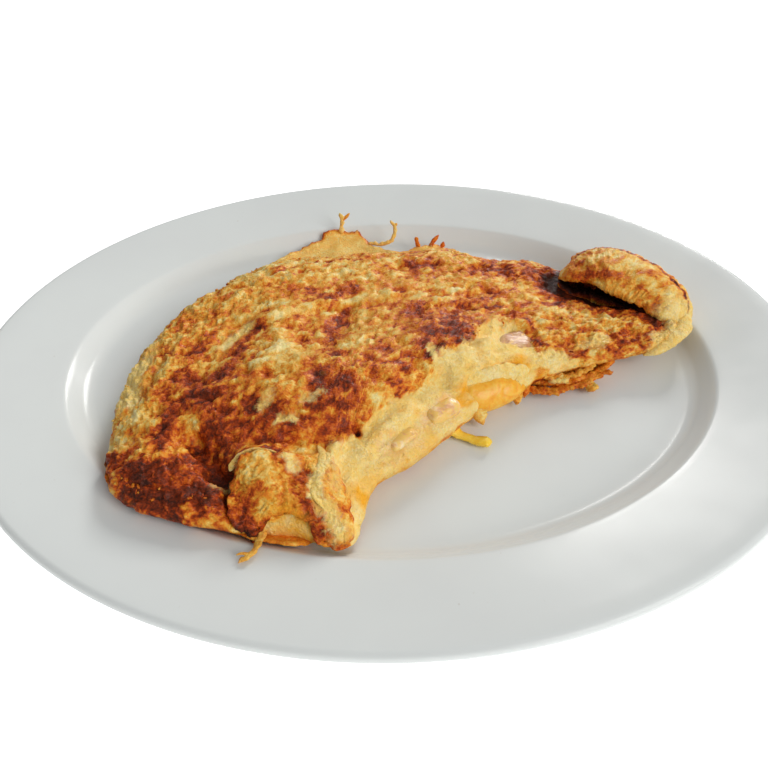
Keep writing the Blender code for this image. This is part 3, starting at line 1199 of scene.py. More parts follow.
@dataclass
class Body:
    """The folded upper layer with its browned, crinkled skin."""

    finish: Material
    relief: SkinRelief = SkinRelief()
    browning: Browning = Browning()
    columns: int = 139
    rows: int = 63
    fineness: int = 3
    underside_roll: float = 7.0
    ragged: float = 0.7
    calm_edge: float = 1.8
    streak_turn: float = 28.0
    hole: tuple[float, float] = (-11.7, -54.7)
    hole_reach: float = 1.3
    hole_depth: float = 3.5
    falls: float = 1.6  # how steeply the top is taken to fall outside the outline
    crown_base: float = 14.0
    # (x, y, height of the edge over the plate, how far in the top rolls down to it), mm
    sides: dict[str, list[Row]] = field(
        default_factory=lambda: {
            "front": [
                (-92, -70, 5, 15), (-87, -77, 4, 14), (-78, -82, 4, 14), (-64, -86, 4, 14),
                (-50, -88, 4, 15), (-34, -87, 5, 14), (-18, -91, 3, 16), (-12, -88, 3, 18),
                (-9, -76, 6, 24), (-5, -68, 8, 26), (7, -60, 9, 26), (20, -48, 9, 26), (32, -36, 9, 22),
                (46, -28, 9, 18), (60, -19, 9, 13), (80, -13, 9, 10),
            ],
            "right": [(101, -8, 10, 9), (112, -4, 11, 9), (118, 4, 12, 8)],
            "back": [
                (118, 15, 11, 8), (110, 31, 10, 9), (96, 42, 9, 10), (79, 48, 9, 10), (63, 57, 8, 11),
                (44, 60, 7, 12), (26, 70, 6, 16), (6, 68, 6, 20), (-22, 69, 5, 24), (-54, 63, 5, 26),
                (-75, 44, 5, 24), (-89, 25, 6, 22),
            ],
            "left": [(-96, 4, 7, 20), (-100, -14, 8, 22), (-100, -34, 9, 22), (-97, -55, 7, 18)],
        }
    )
    # (x, how far the underside lies over the plate), mm
    clearance: tuple[Row, ...] = ((44, 0), (60, 4), (90, 5), (112, 6))
    # (x, y, half length, half width, rise), mm
    mounds: tuple[Row, ...] = (
        (-50, -40, 40, 34, 8), (-14, -34, 34, 26, 9), (24, -12, 30, 24, 8), (-40, 24, 40, 34, 4),
        (20, 34, 34, 26, 2), (-78, -66, 20, 12, 3), (84, 4, 24, 12, 1), (98, 32, 22, 13, -6),
    )
    # folds of the crown itself
    folds: tuple[Fold, ...] = (
        (4, -2.2, ((-24, -62), (-10, -53), (4, -43), (18, -33))),
        (4, 2.0, ((-17, -62), (-20, -70), (-22, -82))),
        (5, -4.5, ((-68, -58), (-62, -64), (-57, -70))),
        (4, -3.5, ((-53, -72), (-49, -79), (-47, -86))),
        (4, 2.5, ((-48, -68), (-41, -66), (-34, -69))),
        (5, 2.0, ((-41, -70), (-38, -80), (-30, -84))),
        (9, 2.5, ((-82, -75), (-70, -76), (-59, -80))),
        (6, -1.6, ((-68, -28), (-63, -10), (-58, 4))),
        (5, -1.4, ((-22, -20), (-19, 4), (-17, 20))),
        (6, 1.6, ((-46, -26), (-42, -8), (-40, 6))),
        (4, 1.4, ((-48, 6), (-36, 15), (-18, 22), (6, 26))),
        (5, 1.6, ((18, -27), (30, -20), (44, -14))),
        (5, -1.4, ((52, 38), (60, 28), (70, 22))),
    )
    # small folds, pits and steps laid on it
    wrinkles: tuple[Fold, ...] = (
        (2.4, -3.0, ((-66, -58), (-61, -64), (-57, -70))),
        (3.0, 1.2, ((-72, -60), (-68, -65), (-63, -68))),
        (2.0, -2.0, ((-53, -72), (-50, -78), (-48, -85))),
        (1.5, 1.3, ((-18, -62), (-21, -70), (-23, -81))),
        (1.6, -1.2, ((-14, -61), (-16, -70), (-17, -82))),
        (7.0, -1.5, ((-44, -74), (-36, -76), (-26, -80))),
        (1.4, 1.0, ((-15, -56), (-11, -52.4), (-8, -52))),
        (2.2, 1.0, ((-62, 26), (-44, 42), (-20, 50), (6, 52))),
        (1.8, -1.0, ((-60, 31), (-44, 46), (-20, 54), (6, 55))),
        (2.0, 0.9, ((-70, 16), (-50, 34), (-28, 40))),
        (2.0, 0.8, ((-52, 5), (-38, 12), (-20, 18), (2, 22))),
        (1.6, -0.8, ((-54, 0), (-38, 7), (-20, 13), (2, 18))),
        (2.4, 1.1, ((-88, -44), (-84, -34), (-82, -20), (-80, -4))),
        (2.0, -1.0, ((-92, -40), (-88, -28), (-87, -10))),
        (2.0, 0.9, ((20, 16), (36, 20), (52, 24), (62, 20))),
        (1.8, -0.9, ((8, 12), (26, 13), (42, 14), (56, 10))),
        (1.8, 0.8, ((34, -4), (50, 2), (66, 4), (84, 4))),
        (2.2, 1.4, ((22, -31), (34, -23), (46, -18), (56, -15))),
        (1.8, -1.6, ((24, -36), (36, -28), (46, -22))),
        (1.8, 0.9, ((76, 8), (90, 4), (104, 0))),
        (1.8, -1.0, ((106, 12), (110, 6), (106, -3))),
        (3.0, 1.2, ((112, 4), (110, -1), (102, -6))),
        (2.2, -0.9, ((-34, -10), (-30, -24), (-26, -36))),
        (2.0, -0.8, ((-58, -60), (-48, -62), (-36, -60), (-26, -60))),
        (7.0, -5.0, ((78, 34), (86, 30), (95, 26))),
        (4.0, -2.4, ((72, 38), (75, 32))),
        (5.0, -2.4, ((45, -8), (51, -7))),
        (1.6, 1.2, ((38, 0), (46, 2), (56, -1), (60, -6))),
        (2.6, 1.3, ((-10, -62), (-2, -53), (7, -45), (16, -38), (26, -32))),
        (2.6, -1.2, ((-4, -67), (5, -56), (14, -47), (22, -41))),
        (2.0, 0.9, ((24, -24), (32, -20), (40, -12))),
        (2.2, -0.9, ((30, -14), (38, -8), (44, -6))),
    )
    crease: Line = (
        (-26, -100), (-24, -84), (-21, -71), (-17, -61), (-10, -54), (-2, -45), (7, -38), (13, -33),
        (16, -26), (21, -20), (27, -17), (32, -12), (36, -4), (42, 0), (49, -1), (53, -7), (58, -12),
        (68, -14), (84, -12), (104, -9), (120, -12),
    )
    marks: tuple[Mark, ...] = (
        # the broad browned field at the left-hand front
        brown(0.38, 12, (-62, -52), (-50, -50), (-40, -56)),
        brown(0.10, 7, (-58, -41), (-46, -44), (-39, -54)),
        brown(0.40, 3.2, (-75, -63), (-77, -52), (-75, -43), (-69, -40), (-62, -42)),
        brown(-0.12, 5, (-46, -60), (-33, -64), (-19, -63)),
        # the dark swelling at the front corner: browned, with painted shade on its front, which faces away
        # from the light
        brown(0.34, 7, (-82, -76), (-70, -78), (-58, -79)),
        brown(0.34, 4.5, (-78, -73), (-66, -70), (-58, -74)),
        brown(0.40, 5, (-85, -70), (-80, -75), (-73, -78), (-65, -81)),
        # painted shade down the groove behind the swelling
        brown(0.45, 2.0, (-65, -59), (-61, -64), (-57, -70)),
        brown(0.12, 5, (-50, -84), (-56, -82)),
        brown(0.26, 4, (-95, -61), (-92, -66)),
        # streaks across the left half
        brown(0.34, 3.2, (-77, -27), (-74, -14), (-70, -2)),
        brown(0.22, 5, (-82, -36), (-74, -30), (-68, -34)),
        brown(0.42, 3.4, (-60, -32), (-56, -14), (-51, 2)),
        brown(0.34, 3.4, (-18, 12), (-20, -6), (-20, -24)),
        brown(0.46, 6.5, (-22, -40), (-14, -42), (-17, -48)),
        brown(0.30, 3.5, (-24, -46), (-23, -52), (-20, -60)),
        brown(0.08, 4, (-34, -36), (-27, -30), (-24, -22)),
        brown(0.38, 4, (-27, 21), (-20, 21), (-14, 27)),
        brown(0.18, 5, (-44, 22), (-36, 24)),
        # dark patch right of the middle, and what trails from it
        brown(0.42, 8, (14, -14), (24, -11), (17, -19)),
        brown(0.24, 9, (12, 0), (24, -2)),
        brown(0.28, 3.0, (-5, -20), (6, -24), (17, -22), (27, -18)),
        brown(0.24, 3.0, (2, -39), (4, -30)),
        brown(0.22, 6, (4, 10), (16, 12)),
        # back edge and right-hand lobe
        brown(0.42, 3.4, (8, 50), (20, 48)),
        brown(0.34, 1.3, (-50, 47), (-34, 50.5), (-21, 52.5), (-3, 50.5)),
        brown(0.38, 4, (34, 40), (46, 47)),
        brown(0.28, 5, (54, 40), (64, 42), (72, 34)),
        brown(0.30, 2.6, (39, 21), (53, 27)),
        brown(0.26, 2.6, (60, 17), (71, 22)),
        brown(0.34, 3.4, (70, 20), (80, 15), (90, 12)),
        # browned, and darkened further as painted shade in the hollow under the rolled edge
        brown(0.95, 7, (74, 39), (82, 34), (91, 29), (99, 24)),
        brown(0.55, 5, (72, 33), (80, 24), (90, 20), (100, 18)),
        brown(0.34, 5, (94, 14), (104, 9), (110, 7)),
        brown(0.22, 3.0, (85, -3), (94, -2)),
        brown(0.22, 2.4, (65, -7), (74, -6)),
        brown(0.45, 2.0, (100, -6), (104.5, 0), (106, 6), (112, 9)),
        brown(0.14, 9, (36, 4), (50, 10)),
        brown(0.50, 2.0, (52, 5), (55, 2), (56, -1)),
        brown(0.45, 1.8, (54, -8), (58, -9)),
        # golden, less browned places
        brown(-0.16, 9, (-49, -14), (-40, -20), (-38, -32)),
        brown(-0.20, 3.2, (-46, 5), (-34, 12), (-22, 14), (-12, 20), (2, 20)),
        brown(-0.14, 4, (-34, 32), (-14, 46)),
        brown(-0.16, 3.0, (-13, -46), (-6, -44)),
        brown(-0.14, 5, (-14, -16), (-9, 0)),
        brown(-0.12, 5, (62, -3), (70, -2)),
        brown(-0.20, 2.6, (68, 11), (76, 11)),
        brown(-0.16, 5, (-90, -50), (-88, -40)),
        brown(-0.16, 8, (-70, 34), (-50, 52), (-24, 60)),
        brown(-0.10, 7, (-30, -78), (-38, -74)),
        brown(-0.40, 3.4, (-46, -87), (-37, -88), (-28, -88)),
        # painted shade down the groove at the left side of the flap
        brown(0.50, 3.0, (-52, -68), (-50, -75), (-49, -83)),
        # pale spots where the egg never met the pan
        cream(0.95, 2.6, (-57, 4), (-60.5, -3), (-64, -10)),
        cream(1.15, 4.6, (-94, -35), (-97, -27), (-95, -15)),
        cream(0.8, 3.0, (-100, -30), (-99, -20)),
        cream(0.50, 3.0, (-94, -12), (-92, -2)),
        cream(0.70, 2.4, (-44, -50), (-40, -45.5)),
        cream(0.95, 2.2, (-37, -55), (-32, -53.5)),
        cream(0.60, 2.4, (-29, -47), (-23, -44)),
        brown(-0.42, 2.6, (-68, -50), (-65, -56)),
        cream(0.30, 2.0, (-68, -50), (-65, -56)),
        cream(0.42, 2.4, (-44, 6), (-34, 12)),
        cream(0.36, 2.2, (-14, 20), (-3, 20)),
        cream(0.34, 2.2, (-32, 31), (-20, 40)),
        cream(0.50, 2.0, (68, 11), (74, 11)),
        cream(0.75, 3.0, (74, -8), (84, -6)),
        cream(0.85, 3.0, (61, -15), (69, -13)),
        cream(-0.6, 2.6, (70, -17), (74, -12)),
        brown(0.25, 2.2, (70, -17), (74, -12)),
        cream(-0.6, 2.6, (88, -10), (93, -13)),
        brown(0.15, 2.2, (88, -10), (93, -13)),
        cream(-0.9, 2.6, (56, -20), (60, -19)),
        brown(0.6, 2.2, (56, -20), (60, -19)),
        cream(0.70, 2.2, (-32, -71), (-30, -73)),
        cream(0.80, 2.4, (-19, -63), (-21, -71), (-23, -81)),
        cream(0.70, 3.0, (-24, -86), (-16, -88)),
        cream(0.75, 3.4, (114, 6), (111, -1), (104, -6)),
        cream(0.45, 3.0, (-50, -72), (-54, -75)),
        # a pale finger of film that reaches up between two golden patches
        cream(1.0, 1.7, (15, -19), (16.4, -24), (19, -30)),
        cream(-0.95, 3.0, (11, -29), (14, -34)),
        cream(-0.8, 2.4, (20, -16), (24, -19)),
        brown(-0.25, 3.0, (20, -15), (25, -17)),
        brown(-0.15, 3.0, (9, -26), (13, -32)),
        cream(0.40, 5.0, (30, -16), (38, -8)),
        # orange tints in the pale front
        Mark(Look.CHEESY, ((-15, -76), (-9, -74), (-5, -68)), 3.5, 0.65),
        Mark(Look.CHEESY, ((2, -60),), 2.6, 0.60),
        Mark(Look.CHEESY, ((8, -58), (14, -52)), 3.0, 0.50),
        Mark(Look.CHEESY, ((26, -34), (40, -26), (50, -20)), 3.0, 0.75),
        Mark(Look.CHEESY, ((-46, -87), (-37, -88), (-28, -88)), 3.4, 0.75),
        Mark(Look.MEATY, ((-2, -60), (6, -54)), 5.0, 0.40),
        Mark(Look.MEATY, ((13, -47), (21, -40)), 4.5, 0.55),
    )

    def __post_init__(self) -> None:
        """Draws the outline and the fine grid."""
        fine = [self.fineness * (count - 1) + 1 for count in (self.columns, self.rows)]
        self.patch = Patch(self.sides, *fine, ragged=self.ragged, ragged_size=4.0)

    def crown(self, plan: Array) -> Array:
        """Height of the top, before its sides roll down.

        Args:
            plan: Places, with x and y first, mm.

        Returns:
            Heights above the table in mm.
        """
        height = np.full(plan.shape[:-1], PLATE.floor_height + self.crown_base)
        for x, y, along, across, rise in self.mounds:
            dx, dy = (plan[..., 0] - x) / along, (plan[..., 1] - y) / across
            height += rise * np.exp(-(dx**2) - dy**2)
        for half_width, rise, line in self.folds:
            height += rise * np.exp(-((distance_to(plan, list(line), 1.5) / half_width) ** 2))
        return height

    def heights(self, plan: Array, distance: Array, near: Array) -> Array:
        """Height of the upper side.

        Args:
            plan: Places, with x and y first, mm.
            distance: How far each lies from the outline, mm.
            near: The outline's row there.

        Returns:
            Heights above the table in mm.
        """
        edge = PLATE.surface(near) + near[..., 2]
        peak = np.maximum(self.crown(plan), edge)
        return edge + (peak - edge) * rolled(distance, near[..., 3])

    def top_at(self, plan: Array) -> Array:
        """Height of the upper side at any place; outside the outline it falls away.

        Args:
            plan: Places, with x and y first, mm.

        Returns:
            Heights above the table in mm.
        """
        distance, near = self.patch.nearest(plan)
        inside = self.patch.inside(plan)
        height = self.heights(plan, np.where(inside, distance, 0), near)
        return np.where(inside, height, height - self.falls * distance)

    def undersides(self, plan: Array, distance: Array, near: Array) -> Array:
        """Height of the underside.

        Args:
            plan: Places, with x and y first, mm.
            distance: How far each lies from the outline, mm.
            near: The outline's row there.

        Returns:
            Heights above the table in mm.
        """
        edge = PLATE.surface(near) + near[..., 2]
        clear = np.interp(plan[..., 0], *np.array(self.clearance, float).T)
        under = np.minimum(PLATE.surface(plan) + GAP + clear, edge)
        return edge - (edge - under) * rolled(distance, self.underside_roll)

    def holed(self, points: Array) -> Array:
        """Finds the small hole beside the crease, whose darkness is painted shade."""
        away = np.linalg.norm(points[..., :2] - np.array(self.hole), axis=-1)
        return np.exp(-((away / self.hole_reach) ** 2))

    def frontness(self, points: Array) -> Array:
        """Tells the pale side in front of the crease from the browned top."""
        stirred = GRAIN.stirred(GRAIN.stirred(points, 9.0, 2.4), 4.0, 1.2)
        return smooth_step(-side_of(stirred, list(self.crease)), -3.0, 3.4)

    def raised(self, points: Array, front: Array) -> Array:
        """How far the skin stands out from the smooth shape.

        Args:
            points: The skin's places, mm.
            front: 1 on the pale front, 0 on the browned top.

        Returns:
            Distances outward in mm.
        """
        relief = self.relief
        plan = GRAIN.stirred(points, 9.0, 1.6)
        out = np.zeros(points.shape[:-1])
        for half_width, rise, line in self.wrinkles:
            out += rise * np.exp(-((distance_to(plan, list(line), 1.0) / half_width) ** 2))
        lumps = GRAIN.layered(GRAIN.stirred(points, 14, 3.0), (20, 13, 13), 2)
        calm = relief.calm + (1 - relief.calm) * smooth_step(points[..., 2], *relief.calm_heights)
        crinkles = calm * GRAIN.ridged(GRAIN.stirred(points, 6, 2.4), (9.0, 5.4, 5.4))
        fine = GRAIN.ridged(GRAIN.stirred(points, 2.6, 1.1), (3.8, 2.5, 2.5))
        out += relief.lumps * lumps + (1 - front) * (relief.crinkles * crinkles + relief.fine * fine)
        soft = GRAIN.layered(GRAIN.stirred(points, 7, 1.5), (9, 7, 7), 3)
        out += front * (relief.front_soft * soft + relief.front_fine * fine)
        behind = smooth_step(side_of(GRAIN.stirred(points, 3.0, 1.2), list(self.crease)), -0.9, 0.9)
        fading = smooth_step(points[..., 0], *relief.step_ends)
        out = out - relief.sunk - relief.step * (1 - behind) * fading
        return out - self.hole_depth * self.holed(points)

    def looks(self, points: Array, out: Array, front: Array) -> Looks:
        """What the skin's places look like.

        Args:
            points: The skin's places, mm.
            out: How far each stands out from the smooth shape, mm.
            front: 1 on the pale front, 0 on the browned top.

        Returns:
            A value for each look at each place.
        """
        looks = marked(self.marks, GRAIN.stirred(GRAIN.stirred(points, 7.0, 2.4), 2.4, 1.0))
        broad = GRAIN.layered(points + 60, (24, 18, 18), 2)
        blotch = blotches(points)
        vein = GRAIN.ridged(GRAIN.stirred(points + 30, 4.0, 1.6), (6.5, 4.0, 4.0))
        grit = GRAIN.layered(points, 1.7, 2)
        lean = math.radians(self.streak_turn)
        turned = points @ np.array(
            [[math.cos(lean), -math.sin(lean), 0], [math.sin(lean), math.cos(lean), 0], [0, 0, 1]]
        )
        streaks = GRAIN.ridged(GRAIN.stirred(turned, 5.0, 1.8), (11.0, 3.4, 3.4))
        share = self.browning
        browned = share.base + share.marks * looks[Look.BROWNING_AND_SHADE] + share.broad * broad
        browned = browned + share.blotch * blotch + share.vein * vein
        browned += share.grit * grit + share.streaks * streaks + share.raised * np.clip(out, -1.5, 1.5)
        browned += share.low_down * smooth_step(points[..., 2], *share.low_heights)
        beyond = share.full + share.past_full * (browned - share.full)
        browned = np.where(browned > share.full, beyond, browned)
        creamy = looks[Look.CREAMY] + 0.9 * front
        creamy -= front * 0.6 * np.clip(GRAIN.layered(points + 11, (14, 7, 7), 3), 0, 1)
        pale = 0.16 + 0.14 * blotch + 0.4 * looks[Look.BROWNING_AND_SHADE]
        in_front = smooth_step(front, 0.25, 0.8)
        browned = browned * (1 - in_front) + pale * in_front
        # painted shade: the hole's pit is painted at the darkest brown
        holed = self.holed(points)
        looks[Look.BROWNING_AND_SHADE] = browned * (1 - holed) + share.hole * holed
        looks[Look.CREAMY] = creamy * (1 - holed)
        looks[Look.CHEESY] += front * 0.8 * np.clip(blotch - 0.1, 0, 1)
        return looks

    def build(self) -> Object:
        """Builds and dresses the layer.

        Returns:
            The piece.
        """
        distance, near = self.patch.edge()
        plan = self.patch.grid
        smooth = np.dstack([plan[..., :2], self.heights(plan, distance, near)])
        front = self.frontness(smooth)
        deepest = self.relief.shallowest + self.relief.deepening * distance
        out = np.maximum(self.raised(smooth, front), -deepest)
        out *= smooth_step(distance, 0.0, self.calm_edge)
        upper = smooth + normals(smooth) * out[..., None]
        coarse, apart, beside = (grid[:: self.fineness, :: self.fineness] for grid in (plan, distance, near))
        under = self.undersides(coarse, apart, beside)
        slab = Slab(upper, np.dstack([coarse[..., :2], under]), self.fineness)
        points = slab.points()
        looks = self.looks(points, padded(out, len(points)), padded(front, len(points)))
        piece = new_piece("folded_egg", points, slab.faces(), looks)
        piece.data.materials.append(self.finish)
        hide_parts("egg")
        return piece


@dataclass
class LowerSheet:
    """The thin lower layer, which follows the plate and shows behind and under the front."""

    finish: Material
    columns: int = 271
    rows: int = 91
    fineness: int = 3
    thickness: float = 3.4
    lift: float = 1.2  # how far its rim lifts off the plate, mm
    lift_right: float = 0.9  # how much more at the right, mm
    lift_width: float = 7.0
    flat_before: float = -30.0  # in front of this its rim lies flat
    ruffled: float = 0.35
    followed: float = 0.8  # share of the lift that its underside follows
    browned_at_right: float = 0.26
    browned_at_front: float = 0.26
    browned_rim: float = 0.50
    # (x, y), mm
    sides: dict[str, list[Row]] = field(
        default_factory=lambda: {
            "front": [
                (-86, -62), (-70, -76), (-50, -87), (-36, -91), (-26, -88), (-12, -66), (18, -44),
                (38, -26), (52, -19), (62, -20), (73, -19),
            ],
            "right": [(83, -15), (90, -4), (92, 14)],
            "back": [
                (86, 30), (66, 48), (46, 63), (32, 80), (18, 82), (5, 77), (-4, 82), (-11, 90.5),
                (-17, 93), (-24, 92.5), (-30, 91.5), (-34, 87.5), (-42, 82), (-58, 66), (-76, 36),
            ],
            "left": [(-88, 14), (-94, -14), (-94, -40)],
        }
    )

    def build(self) -> Object:
        """Builds and dresses the sheet.

        Returns:
            The piece.
        """
        patch = Patch(self.sides, self.columns, self.rows, ragged=1.1, ragged_size=4.5)
        distance, near = patch.edge()
        plan = patch.grid
        resting = PLATE.surface(plan) + GAP
        middle = PLATE.surface(near) + GAP + self.thickness / 2
        thick = rolled(distance, self.thickness)
        flat = np.dstack([plan[..., :2], resting])
        ruffle = GRAIN.layered(GRAIN.stirred(flat, 8, 2.0), (12, 9, 9), 3)
        right = smooth_step(plan[..., 0], 44, 56)
        lift = (self.lift + self.lift_right * right) * (1 + ruffle)
        lift = lift * smooth_step(distance, self.lift_width, 0) * (plan[..., 1] > self.flat_before)
        top = middle + (resting + self.thickness - middle) * thick + self.ruffled * ruffle * thick + lift
        bottom = middle + (resting - middle) * thick + lift * self.followed
        upper = np.dstack([plan[..., :2], top])
        lower = np.dstack([plan[..., :2], bottom])
        slab = Slab(upper, lower[:: self.fineness, :: self.fineness], self.fineness)
        points = slab.points()
        blotch = blotches(points)
        right = smooth_step(points[:, 0], 44, 54)
        front = smooth_step(points[:, 1], -60, -76)
        rim = padded(smooth_step(distance, 2.4, 0.5), len(points)) * smooth_step(points[:, 1], 70, 86)
        browned = 0.20 + 0.12 * blotch + self.browned_at_right * right
        looks = marked((), points)
        looks[Look.BROWNING_AND_SHADE] = browned + self.browned_at_front * front + self.browned_rim * rim
        looks[Look.CREAMY] = 0.28 * (1 - right) * (1 - front) + 0.2 * blotch
        looks[Look.CHEESY] = 0.12 + 0.15 * blotch
        piece = new_piece("lower_egg_sheet", points, slab.faces(), looks)
        piece.data.materials.append(self.finish)
        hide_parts("egg")
        return piece


@dataclass
class RolledEdge:
    """The edge that stands up behind the right-hand lobe and rolls forward over a hollow."""

    finish: Material
    stations: int = 170
    around: int = 56
    thickness: float = 3.4
    free_edge: float = 25.0  # degrees round the hollow
    drawn_back: float = 16.0  # how much further round the free edge stands near the root, degrees
    root: float = 295.0  # degrees round the hollow
    rim_steps: int = 9
    grain_rise: float = 0.42
    lump_rise: float = 0.80
    fading: int = 12  # stations over which the relief fades at each end
    crest_turn: float = 133.0
    crest_width: float = 5.0
    crest_browned: float = 0.62
    brow_turn: float = 40.0
    brow_width: float = 16.0
    brow_browned: float = 0.20
    # (x, y, z, half width of the hollow, half height of the hollow), mm
    axis: tuple[Row, ...] = (
        (75, 39, 21, 2, 1.5), (80, 37, 22, 6.5, 4.5), (88, 36.5, 23.3, 10.5, 6.5),
        (97, 33, 23.5, 13, 7.5), (107, 25, 22.5, 11.5, 6.5), (114, 15, 21, 8.5, 5), (118, 6, 20, 3, 1.5),
    )

    def section(self, wide: float, high: float, share: float) -> tuple[Array, Array, Array]:
        """One hook: outer side from the free edge to the root, then back along the inner side.

        Args:
            wide: Half width of the hollow, mm.
            high: Half height of the hollow, mm.
            share: How far along the edge it stands, from 0 to 1.

        Returns:
            How far outward and up each point lies from the axis, and its place from 0, inside, to 1.
        """
        thick = min(self.thickness, high)
        free = self.free_edge + self.drawn_back * float(smooth_step(np.array(share), 0.42, 0.10))
        turns = np.radians(np.linspace(free, self.root, self.around))
        outer = np.stack([-(wide + thick) * np.cos(turns), (high + thick) * np.sin(turns)], 1)
        inner = np.stack([-wide * np.cos(turns), high * np.sin(turns)], 1)
        lip = []
        start, end = inner[0], outer[0]
        middle, reach = (start + end) / 2, np.linalg.norm(end - start) / 2
        way = (end - start) / (2 * reach)
        ahead = np.array([way[1], -way[0]])
        for turn in np.radians(np.linspace(0, 180, self.rim_steps)[1:-1]):
            lip.append(middle - reach * (math.cos(turn) * way + math.sin(turn) * ahead))
        ring = np.vstack([outer, inner[::-1], np.array(lip)])
        face = np.concatenate([np.ones(len(outer)), np.zeros(len(inner)), np.linspace(0.3, 0.7, len(lip))])
        return ring[:, 0], ring[:, 1], face

    def build(self) -> Object:
        """Builds and dresses the edge.

        Returns:
            The piece.
        """
        axis = resampled(curve(list(self.axis)), np.linspace(0, 1, self.stations))
        ahead = np.gradient(axis[:, :2], axis=0)
        ahead /= np.linalg.norm(ahead, axis=1)[:, None]
        rings, faces_of, turn_of = [], [], []
        shares = np.linspace(0, 1, self.stations)
        for (x, y, z, wide, high), (ax, ay), share in zip(axis, ahead, shares):
            out, rise, face = self.section(wide, high, share)
            rings.append(np.stack([x - ay * out, y + ax * out, z + rise], 1))
            faces_of.append(face)
            turn_of.append(np.degrees(np.arctan2(rise, -out)) % 360)
        grid = np.stack(rings)
        face, turn = np.stack(faces_of), np.stack(turn_of)
        along = np.gradient(grid, axis=0)
        round_ = np.roll(grid, -1, 1) - np.roll(grid, 1, 1)
        square = np.cross(round_, along)
        square /= np.linalg.norm(square, axis=-1)[..., None] + TINY
        middle = axis[:, None, :3]
        flip = np.sign(((grid - middle) * square).sum(-1).mean())
        square *= flip if flip else 1
        grain = GRAIN.ridged(GRAIN.stirred(grid, 3, 1.0), (3.6, 2.6, 2.6))
        lumps = GRAIN.layered(GRAIN.stirred(grid, 8, 2.0), 11, 2)
        from_end = np.minimum(np.arange(len(grid)), np.arange(len(grid))[::-1])
        fade = np.minimum(1, from_end / self.fading)[:, None]
        grid = grid + square * ((self.grain_rise * grain + self.lump_rise * lumps) * fade)[..., None]
        points, faces = loft(list(grid))
        piece = new_piece("rolled_edge", points, faces, self.looks(points, face.ravel(), turn.ravel()))
        piece.data.materials.append(self.finish)
        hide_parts("egg")
        return piece

    def looks(self, points: Array, face: Array, turn: Array) -> Looks:
        """What the edge's places look like.

        Args:
            points: Its places, mm.
            face: 0 on the inner side of the hollow, 1 on the outer.
            turn: Degrees round the hollow, from its free edge over the crest.

        Returns:
            A value for each look at each place.
        """
        share = np.repeat(np.linspace(0, 1, self.stations), len(points) // self.stations)
        blotch = GRAIN.layered(GRAIN.stirred(points, 4, 1.6), (7, 4.5, 4.5), 3, 0.6)
        wander = self.crest_width * GRAIN.layered(points, 6, 3)
        crest = np.exp(-(((turn - self.crest_turn - wander) / self.crest_width) ** 2)) * face
        brow = np.exp(-(((turn - self.brow_turn) / self.brow_width) ** 2))
        inside = 1 - smooth_step(face, 0.1, 0.6)
        tip = smooth_step(share, 0.80, 0.95)
        near_root = np.exp(-(((share - 0.12) / 0.10) ** 2))
        browned = 0.29 + 0.34 * blotch + self.crest_browned * crest + self.brow_browned * brow
        browned = browned + 0.15 * near_root * face
        # the inside of the hollow is browned, and painted darker still as painted shade; less so towards the
        # tip
        hollow = 1.10 - 0.42 * smooth_step(share, 0.55, 0.85) + 0.1 * blotch
        looks = marked((), points)
        looks[Look.BROWNING_AND_SHADE] = browned * (1 - inside) + inside * hollow
        looks[Look.CREAMY] = face * (0.16 + 0.65 * tip) - 0.4 * crest
        return looks


# ---- filling


